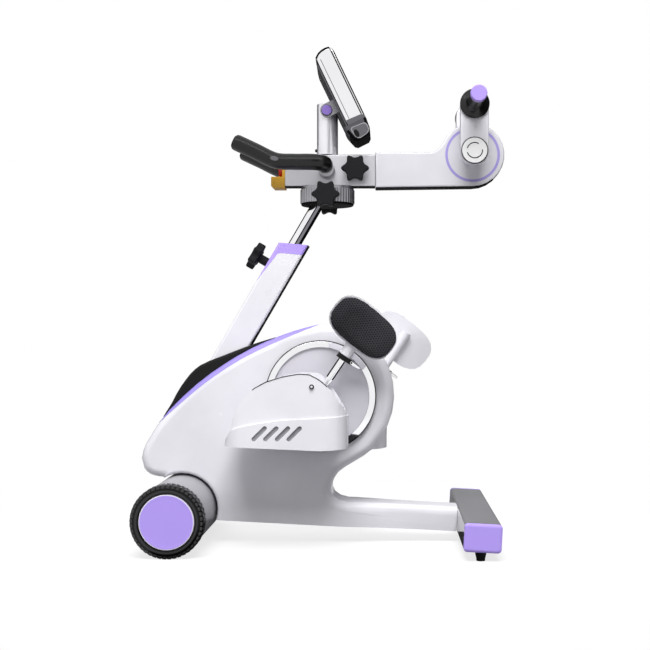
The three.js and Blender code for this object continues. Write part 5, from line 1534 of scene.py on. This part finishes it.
@dataclass
class LegStation:
    """One foot shell with its calf support."""

    side: Side
    pin_x: float
    pin_z: float
    ankle_dx: float = 31.5
    ankle_dz: float = 13.0
    shell_near: float = 93.0
    shell_width: float = 122.0
    rod_y: float = 111.1
    wall: float = 4.0
    sleeve: float = 8.7
    # The sleeve's bore, and its ends along the rod
    sleeve_bore: float = 7.0
    sleeve_low: float = 24.0
    sleeve_high: float = 79.9
    rod_offset: float = 20.0
    rod_lean: float = 34.0
    eye_radius: float = 28.5
    # The clamp collar: its top along the rod, and its half width about the rod
    collar_top: float = 92.5
    collar_half: float = 17.0
    # The ends of the black strand of painted shade along the shell's rim, in X from the pedal pin, and its
    # radius
    edging_ends: tuple[float, float] = (-98.0, 66.0)
    edging_radius: float = 0.9
    dome: tuple[tuple[float, float], ...] = (
        (-142.8, -100.3), (-142.6, -87.1), (-138.6, -58.0), (-123.6, -24.0), (-95.9, 6.3), (-57.4, 26.6),
        (-4.0, 39.3), (30.3, 37.5), (57.9, 19.0), (75.0, 1.1), (91.9, -26.0), (108.0, -49.3),
    )
    slot_field: tuple[tuple[float, float], ...] = ((-100, -112), (15, -112), (15, -70), (-100, -70))

    def calf_matrix(self) -> Matrix:
        """From the calf support's frame, with Z along its rod, to the machine's."""
        turn = Matrix.Rotation(math.radians(self.rod_lean), 4, "Y")
        return Matrix.Translation(at(self.pin_x + self.ankle_dx, 0, self.pin_z + self.ankle_dz)) @ turn

    def rod_matrix(self) -> Matrix:
        """From the rod's own frame, with Z along its axis, to the machine's."""
        shift = at(self.rod_offset, self.side.value * self.rod_y, 0)
        return self.calf_matrix() @ Matrix.Translation(shift)

    def is_eye(self, face: bmesh.types.BMFace) -> bool:
        """Whether a face belongs to the rod's white eye."""
        spot = self.calf_matrix().inverted() @ face.calc_center_median()
        return math.hypot(spot.x, spot.z) < self.eye_radius * MM

    def is_collar(self, face: bmesh.types.BMFace) -> bool:
        """Whether a face belongs to the black clamp collar.

        Args:
            face: the face.

        Returns:
            True where it does.
        """
        spot = self.calf_matrix().inverted() @ face.calc_center_median()
        beside = abs(abs(spot.y) - self.rod_y * MM) < self.collar_half * MM
        return spot.z < self.collar_top * MM and beside

    def build(self, nodes: dict[str, bpy.types.Object]) -> None:
        """Makes the station's pieces.

        Args:
            nodes: the CAD nodes by name.
        """
        word = self.side.word
        DressedNode(f"foot_shell_{word}", f"pedal_{word}", "gloss_white", (Coat.GLOSS,), 0.3, 36,
                    60).build(nodes)
        DressedNode(f"calf_rod_{word}", f"calf_arm_{word}", "chrome", (Coat.CHROME, Coat.GLOSS), 0.6,
                    paint=(self.is_eye,)).build(nodes)
        DressedNode(f"calf_shell_{word}", f"calf_support_{word}", "gloss_white",
                    (Coat.GLOSS, Coat.SATIN_BLACK), 0.0, 40, paint=(self.is_collar,)).build(nodes)
        DressedNode(f"clamp_lever_{word}", f"calf_clamp_{word}", "chrome", (Coat.CHROME,), 0.6).build(nodes)
        self.build_sleeve()
        self.build_edging(nodes[f"foot_shell_{word}"])
        self.build_screw()
        self.build_liner()
        self.build_pad(nodes)

    def build_sleeve(self) -> None:
        """Makes the bright outer tube of the rod, between its eye and the clamp."""
        bore, low, high = self.sleeve_bore, self.sleeve_low, self.sleeve_high
        profile = [(bore, low), (self.sleeve, low), (self.sleeve, high - 0.5),
                   (self.sleeve - 0.5, high), (bore, high), (bore, low)]
        tube = spun(profile, self.rod_matrix(), 64)
        word = self.side.word
        write_piece(f"rod_sleeve_{word}", tube, f"calf_arm_{word}", [Coat.CHROME])

    def build_edging(self, shell: bpy.types.Object) -> None:
        """Makes a thin black strand of painted shade, which hugs the upper edge of the foot shell.

        Args:
            shell: the foot shell's CAD node.
        """
        bm = merged_copy(shell)
        skin = BVHTree.FromBMesh(bm)
        bm.free()
        outer = self.side.value * (self.shell_near + self.shell_width - self.edging_radius)
        crest = smooth_path([at(x, 0, z) for x, z in self.dome])
        toe, heel = self.edging_ends
        path = [skin.find_nearest(point + at(self.pin_x, outer, self.pin_z))[0] for point in crest
                if toe * MM < point.x < heel * MM]
        strand = sweep(path, [self.edging_radius] * len(path), 12)
        write_piece(f"shell_edging_{self.side.word}", strand, f"pedal_{self.side.word}",
                    [Coat.UNDER_BLACK])

    def build_screw(self) -> None:
        """Makes the pale screw on the shell's outer wall and a black ring of painted shade for the gap
        round it.
        """
        face = self.shell_near + self.shell_width - 1.2
        place = facing(self.side, self.pin_x + self.ankle_dx, face, self.pin_z + self.ankle_dz)
        gap = spun([(0, 0), (5.2, 0), (5.2, 1.2), (4.6, 1.7), (0, 1.7)], place, 40)
        head = [(0, 1.4), (2.6, 1.4), (2.6, 2.5), (2.2, 2.8), (0.7, 2.8), (0.7, 2.2), (0, 2.2)]
        screw = spun(head, place, 32)
        paint_faces(screw, 1, lambda face: True)
        write_piece(f"ankle_screw_{self.side.word}", joined([gap, screw]), f"pedal_{self.side.word}",
                    [Coat.UNDER_BLACK, Coat.GLOSS])

    def build_liner(self) -> None:
        """Makes a grey sheet of painted shade that shows through the slots in the outer wall."""
        inner = self.shell_near + self.shell_width - self.wall - 1.3
        place = facing(self.side, self.pin_x, inner, self.pin_z)
        across = 1 if self.side is Side.LEFT else -1
        outline = [(across * x, z) for x, z in self.slot_field]
        write_piece(f"slot_liner_{self.side.word}", pushed(outline, 1.0, place), f"pedal_{self.side.word}",
                    [Coat.LINER])

    def build_pad(self, nodes: dict[str, bpy.types.Object]) -> None:
        """Makes the foam calf pad, its cover puffed by the cloth work.

        Args:
            nodes: the CAD nodes by name.
        """
        word = self.side.word
        piece = linked_object(f"calf_cushion_{word}", merged_copy(nodes[f"calf_pad_{word}"]))
        Upholstery().puff(piece)
        for polygon in piece.data.polygons:
            polygon.use_smooth = True
        piece.data.materials.clear()
        piece.data.materials.append(Coat.KNIT.material)
        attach(piece, f"calf_support_{word}")
        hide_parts(f"calf_pad_{word}")
        LOG.info("%s: %d faces", piece.name, len(piece.data.polygons))


@dataclass
class Upholstery:
    """Cloth work for the pads."""

    voxel: float = 3.5
    pressure: float = 3.0
    frames: int = 16
    cap: float = 2.5

    def apply(self, piece: bpy.types.Object) -> None:
        """Makes the piece's modifiers part of its mesh.

        Args:
            piece: the pad.
        """
        graph = bpy.context.evaluated_depsgraph_get()
        mesh = bpy.data.meshes.new_from_object(piece.evaluated_get(graph))
        piece.modifiers.clear()
        piece.data = mesh

    def puff(self, piece: bpy.types.Object) -> None:
        """Swells the cover like foam under cloth, by no more than the cap.

        Args:
            piece: the pad.
        """
        remesh = piece.modifiers.new("even faces", "REMESH")
        remesh.mode = "VOXEL"
        remesh.voxel_size = self.voxel * MM
        self.apply(piece)
        rest = [v.co.copy() for v in piece.data.vertices]
        cloth = piece.modifiers.new("cover", "CLOTH")
        cloth.settings.quality = 5
        cloth.settings.use_pressure = True
        cloth.settings.uniform_pressure_force = self.pressure
        cloth.settings.tension_stiffness = 40
        cloth.settings.effector_weights.gravity = 0
        scene = bpy.context.scene
        for number in range(1, self.frames + 1):
            scene.frame_set(number)
        self.apply(piece)
        for vertex, start in zip(piece.data.vertices, rest):
            step = vertex.co - start
            if step.length > self.cap * MM:
                vertex.co = start + step.normalized() * self.cap * MM
        scene.frame_set(1)
        smooth = piece.modifiers.new("even", "SMOOTH")
        smooth.iterations = 4
        finer = piece.modifiers.new("finer", "SUBSURF")
        finer.levels = finer.render_levels = 1
        self.apply(piece)


@dataclass
class BaseUnit:
    """Body shells, trim, spine, crossbar, drum, column and what hides inside."""

    column: ColumnFrame = field(default_factory=ColumnFrame)
    cap_fillet: float = 5.0
    # The least bend, in radians, of an edge of the crossbar cap's rim
    rim_bend: float = 0.6
    # The knob's distance down the column, and those of its head and its hub from the axis
    knob_drop: float = 67.6
    knob_back: float = 55.0
    knob_root: float = 31.3
    # Height where the post's black seat starts
    seat_z: float = 774.3
    # Where the beam's near side and its underside meet the crossbar
    beam_side: float = -35.0
    beam_floor: float = 25.0
    hidden: dict[str, tuple[Coat, ...]] = field(
        default_factory=lambda: {
            "base_frame": (Coat.FRAME_PAINT,),
            "crank_bearing_left": (Coat.CHROME,),
            "crank_bearing_right": (Coat.CHROME,),
            "crank_shaft": (Coat.FRAME_PAINT,),
            "leg_motor": (Coat.SATIN_BLACK,),
            "motor_pulley": (Coat.FRAME_PAINT,),
            "drive_belt": (Coat.FOOT_RUBBER,),
            "arm_slide": (Coat.POWDER,),
            "arm_gearmotor": (Coat.SATIN_BLACK,),
        }
    )

    def build(self, nodes: dict[str, bpy.types.Object]) -> None:
        """Makes the base's pieces.

        Args:
            nodes: the CAD nodes by name.
        """
        for side in Side:
            word = side.word
            DressedNode(f"housing_{word}", "base", "white_shell", (Coat.SHELL,), 0.0, 35).build(nodes)
            DressedNode(f"trim_stripe_{word}", "base", "lavender", (Coat.STRIPE,), 0.0, 35).build(nodes)
            self.build_cap(nodes[f"crossbar_cap_{word}"], word)
            DressedNode(f"foot_{word}", "base", "black_rubber", (Coat.FOOT_RUBBER,), 0.6, 36).build(nodes)
            DressedNode(f"leg_crank_{word}", "leg_crank", "frame_steel", (Coat.POWDER,), 0.6).build(nodes)
            SideDisc().build(side)
        DressedNode("spine_cover", "base", "black_plastic", (Coat.SATIN_BLACK,), 0.0, 50).build(nodes)
        # The crossbar's patch that mirrors the beam is painted darker as shade
        DressedNode("crossbar", "base", "grey_paint", (Coat.POWDER, Coat.POWDER_GLOSS), 0.0, 30,
                    paint=(self.is_bar_front,), cuts=self.bar_cuts).build(nodes)
        DressedNode("front_drum", "base", "white_shell", (Coat.DRUM,), 0.8, 30).build(nodes)
        # The column's and the collar's undersides are painted black as shade
        back = (self.column.is_back,)
        cuts = (self.column.back_cut(),)
        DressedNode("column", "base", "white_paint", (Coat.ENAMEL, Coat.UNDER_BLACK), 0.0, 30,
                    paint=back, cuts=cuts).build(nodes)
        DressedNode("column_collar", "base", "lavender", (Coat.LAVENDER, Coat.UNDER_BLACK), 0.0, 30,
                    paint=back, cuts=cuts).build(nodes)
        DressedNode("mast_post", "mast", "chrome", (Coat.CHROME, Coat.UNDER_BLACK), 0.4, 30,
                    paint=(self.is_seat,)).build(nodes)
        down = Matrix.Translation(at(0, 0, -self.knob_drop))
        place = self.column.matrix() @ down @ Matrix.Rotation(-QUARTER, 4, "Y")
        StarKnob().build("column_knob", "mast_knob", place, self.knob_back, self.knob_root)
        for name, coats in self.hidden.items():
            node = nodes[name]
            node.data.materials.clear()
            for coat in coats:
                node.data.materials.append(coat.material)

    def build_cap(self, node: bpy.types.Object, word: str) -> None:
        """Makes a crossbar cap with its well-rounded outer rim.

        Args:
            node: the cap's CAD node.
            word: its side's word in names.
        """
        bm = merged_copy(node)
        reach = max(abs(vertex.co.y) for vertex in bm.verts)
        rim = [
            edge for edge in bm.edges
            if all(abs(vertex.co.y) > reach - 0.3 * MM for vertex in edge.verts)
            and len(edge.link_faces) == 2 and edge.calc_face_angle(0.0) > self.rim_bend
        ]
        bevel(bm, rim, self.cap_fillet, 5)
        write_piece(f"crossbar_cap_{word}_skin", bm, "base", [Coat.LAVENDER],
                    [f"crossbar_cap_{word}"], 50)

    @property
    def bar_cuts(self) -> tuple[tuple[Vector, Vector], ...]:
        """The planes that part the crossbar's glossy patch of painted shade from the rest of it.

        Returns:
            Each plane as a point and a normal.
        """
        return (
            (at(0, self.beam_side, 0), Vector((0, 1, 0))),
            (at(0, 0, self.beam_floor), Vector((0, 0, 1))),
        )

    def is_bar_front(self, face: bmesh.types.BMFace) -> bool:
        """Whether a face belongs to the crossbar's glossy patch of painted shade, which mirrors the beam.

        Args:
            face: the face.

        Returns:
            True where it does.
        """
        spot = face.calc_center_median()
        beside = spot.y < self.beam_side * MM and spot.z > self.beam_floor * MM
        return beside and face.normal.x < -UPRIGHT

    def is_seat(self, face: bmesh.types.BMFace) -> bool:
        """Whether a face belongs to the black seat on the post's top."""
        return face.calc_center_median().z > self.seat_z * MM


# Studio


class Stand(Enum):
    """What a screen bends round: its value is the frame that its upright axis follows."""

    ROOM = Matrix.Identity(4)
    MAST = ColumnFrame().matrix()
    ROD = LegStation(Side.LEFT, *PEDAL_PINS[Side.LEFT]).rod_matrix()


@dataclass(frozen=True)
class Flag:
    """A screen that metal mirrors; angles in degrees from the camera, the rest in metres.

    It is flare wider at its top than reach, its radius at the foot.
    """

    name: str
    start: float
    stop: float
    low: float = 0.02
    high: float = 2.6
    reach: float = 2.5
    flare: float = 0.0
    colour: str = "#2A2A2C"
    stand: Stand = Stand.ROOM
    strength: float = 1.0


@dataclass(frozen=True)
class Lamp:
    """A square soft lamp: its place, width and target in metres, and its power in watts."""

    name: str
    place: tuple[float, float, float]
    size: float
    power: float
    target: tuple[float, float, float] = (0.0, 0.0, 0.5)


# Cards that hug the mast and the near calf rod, and the black of their edges
MAST_CARD: dict[str, object] = {"low": -0.02, "high": 0.105, "reach": 0.018, "stand": Stand.MAST}
ROD_CARD: dict[str, object] = {"low": 0.03, "high": 0.079, "reach": 0.0115, "stand": Stand.ROD}
EDGE_BLACK = "#0A0A0B"


@dataclass
class Studio:
    """White floor and surround, four lamps, screens for the metal, and the photograph's camera."""

    camera_place: tuple[float, float, float] = (0.141, -2.6, 0.4865)
    lens: float = 61.8
    shift: tuple[float, float] = (-0.0923, 0.0077)
    sensor: float = 36.0
    view_depth: float = 60.0
    floor_size: float = 30.0
    sweep_from: float = 0.62
    sweep_to: float = 1.0
    ambient: float = 0.2
    floor_glow: float = 0.74
    floor_paint: str = "#828284"
    shadow_paint: str = "#8C8C8E"
    # A large lamp above and in front, one behind for the far side, and weak ones beside
    lamps: tuple[Lamp, ...] = (
        Lamp("key", (0.1, -2.45, 4.2), 2.8, 272),
        Lamp("back fill", (-0.3, 3.2, 1.5), 2.2, 95),
        Lamp("left fill", (-2.8, -1.6, 1.5), 1.6, 14),
        Lamp("right fill", (2.8, -2.0, 1.2), 1.6, 9),
    )
    flags: tuple[Flag, ...] = (
        Flag("right flag", 60, 155, 0.02, 2.2, 1.05),
        Flag("back flag", 155, 252, 0.02, 3.0),
        Flag("strip light", -70, 70, 2.7, 3.3, 2.2, colour="#FFFFFF", strength=5.0),
        Flag("upper right card", 5, 33, 1.0, 2.1, 1.7),
        Flag("mast dark card", 0, 14, colour="#1E1E20", **MAST_CARD),
        Flag("mast grey card", 14, 46, colour="#85858A", **MAST_CARD),
        Flag("mast right edge", 46, 140, colour=EDGE_BLACK, **MAST_CARD),
        Flag("mast left edge", -170, -76, colour=EDGE_BLACK, **MAST_CARD),
        Flag("rod right edge", 50, 170, colour=EDGE_BLACK, **ROD_CARD),
        Flag("rod left edge", -170, -50, colour=EDGE_BLACK, **ROD_CARD),
        Flag("low card", 10, 34, 0.02, 0.12, 0.75),
        Flag("floor card", -180, 180, 0.001, 0.001, 0.01, flare=0.44),
    )

    def build(self) -> None:
        """Sets up the camera, the floor, the world, the lamps and the flags."""
        scene = bpy.context.scene
        scene.view_settings.view_transform = "Standard"
        self.build_camera(scene)
        self.build_floor()
        self.build_world(scene)
        for lamp in self.lamps:
            self.add_lamp(lamp)
        for flag in self.flags:
            self.build_flag(flag)

    def build_flag(self, flag: Flag) -> None:
        """Adds a curved screen that only mirror-like rays meet.

        Args:
            flag: where the screen stands, how large it is and how bright.
        """
        bm = bmesh.new()
        start = math.radians(flag.start)
        corners = [
            bm.verts.new((radius * math.sin(start), -radius * math.cos(start), height))
            for radius, height in ((flag.reach, flag.low), (flag.reach + flag.flare, flag.high))
        ]
        edge = bm.edges.new(corners)
        bmesh.ops.spin(
            bm, geom=[*corners, edge], cent=(0, 0, 0), axis=(0, 0, 1),
            angle=math.radians(flag.stop - flag.start), steps=24, use_duplicate=False,
        )
        bmesh.ops.transform(bm, matrix=flag.stand.value, verts=bm.verts)
        screen = linked_object(flag.name, bm)
        material = bpy.data.materials.new(f"Card, {flag.name}")
        tree = cleared_tree(material)
        glow = add_node(
            tree, "ShaderNodeEmission", {"Color": linear(flag.colour), "Strength": flag.strength}
        )
        add_node(tree, "ShaderNodeOutputMaterial", links={"Surface": glow.outputs["Emission"]})
        screen.data.materials.append(material)
        for rays in ("camera", "diffuse", "shadow", "transmission", "volume_scatter"):
            setattr(screen, f"visible_{rays}", False)

    def build_camera(self, scene: bpy.types.Scene) -> None:
        """Adds the camera, looking along +Y.

        Args:
            scene: the scene that gets it.
        """
        camera = bpy.data.objects.new("camera", bpy.data.cameras.new("camera"))
        scene.collection.objects.link(camera)
        camera.location = self.camera_place
        camera.rotation_euler = (QUARTER, 0, 0)
        camera.data.lens = self.lens
        camera.data.sensor_width = self.sensor
        camera.data.shift_x, camera.data.shift_y = self.shift
        camera.data.clip_end = self.view_depth
        scene.camera = camera

    def build_floor(self) -> None:
        """Adds the white floor, which keeps the machine's shadow."""
        bm = bmesh.new()
        bmesh.ops.create_grid(bm, x_segments=1, y_segments=1, size=self.floor_size)
        floor = linked_object("floor", bm)
        material = bpy.data.materials.new("White studio floor")
        tree = cleared_tree(material)
        seen = self.seen_rays(tree)
        where = add_node(tree, "ShaderNodeTexCoord")
        far = add_node(tree, "ShaderNodeVectorMath", {"operation": "LENGTH"},
                       {"0": where.outputs["Object"]})
        open_floor = add_node(tree, "ShaderNodeMapRange",
                              {"From Min": self.sweep_from, "From Max": self.sweep_to,
                               "interpolation_type": "SMOOTHSTEP"},
                              {"Value": far.outputs["Value"]})
        # Near the machine: paint that shows its shadow, lifted towards white
        near = self.shadow_floor(tree)
        white = add_node(tree, "ShaderNodeEmission", {"Color": (1, 1, 1, 1), "Strength": 1.0})
        shown = add_node(tree, "ShaderNodeMixShader", links={
            "0": open_floor.outputs["Result"], "1": near, "2": white.outputs["Emission"]})
        paint = add_node(tree, "ShaderNodeBsdfDiffuse", {"Color": linear(self.floor_paint)})
        both = add_node(tree, "ShaderNodeMixShader", links={
            "0": seen, "1": paint.outputs["BSDF"], "2": shown.outputs["Shader"]})
        add_node(tree, "ShaderNodeOutputMaterial", links={"Surface": both.outputs["Shader"]})
        floor.data.materials.append(material)

    def seen_rays(self, tree: bpy.types.NodeTree) -> bpy.types.NodeSocket:
        """Adds a value that is 1 for what the camera or a mirror sees, and 0 for other light.

        Args:
            tree: the nodes that get it.

        Returns:
            The socket that gives it.
        """
        rays = add_node(tree, "ShaderNodeLightPath")
        seen = add_node(tree, "ShaderNodeMath", {"operation": "MAXIMUM"},
                        {"0": rays.outputs["Is Camera Ray"], "1": rays.outputs["Is Glossy Ray"]})
        return seen.outputs["Value"]

    def shadow_floor(self, tree: bpy.types.NodeTree) -> bpy.types.NodeSocket:
        """Adds the part of the floor that keeps the machine's shadow.

        Args:
            tree: the floor's nodes.

        Returns:
            Its shader socket.
        """
        paint = add_node(tree, "ShaderNodeBsdfDiffuse", {"Color": linear(self.shadow_paint)})
        glow = add_node(tree, "ShaderNodeEmission", {"Color": (1, 1, 1, 1), "Strength": self.floor_glow})
        both = add_node(tree, "ShaderNodeAddShader",
                        links={"0": paint.outputs["BSDF"], "1": glow.outputs["Emission"]})
        return both.outputs["Shader"]

    def build_world(self, scene: bpy.types.Scene) -> None:
        """Adds an even pale surround that shows white behind the machine.

        Args:
            scene: the scene that gets it.
        """
        world = bpy.data.worlds.new("studio")
        scene.world = world
        tree = cleared_tree(world)
        strength = add_node(tree, "ShaderNodeMapRange", {"To Min": self.ambient, "To Max": 1.0},
                            {"Value": self.seen_rays(tree)})
        sky = add_node(tree, "ShaderNodeBackground", {"Color": (1, 1, 1, 1)},
                       {"Strength": strength.outputs["Result"]})
        add_node(tree, "ShaderNodeOutputWorld", links={"Surface": sky.outputs["Background"]})

    def add_lamp(self, lamp: Lamp) -> None:
        """Adds one lamp, which mirrors don't show.

        Args:
            lamp: the lamp's name, place, width, target and power.
        """
        data = bpy.data.lights.new(lamp.name, "AREA")
        data.size = lamp.size
        data.energy = lamp.power
        made = bpy.data.objects.new(lamp.name, data)
        made.visible_glossy = False
        bpy.context.scene.collection.objects.link(made)
        made.location = lamp.place
        aim = Vector(lamp.target) - Vector(lamp.place)
        made.rotation_euler = aim.to_track_quat("-Z", "Y").to_euler()


def main() -> None:
    """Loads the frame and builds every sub-assembly."""
    logging.basicConfig(level=logging.INFO, format="%(name)s: %(message)s")
    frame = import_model()
    nodes = frame["nodes"]
    Studio().build()
    BaseUnit().build(nodes)
    Wheels().build()
    SwivelHead().build(nodes)
    ConsoleUnit().build(nodes)
    ArmUnit().build(nodes)
    for side, (pin_x, pin_z) in PEDAL_PINS.items():
        LegStation(side, pin_x, pin_z).build(nodes)


if __name__ == "__main__":
    main()
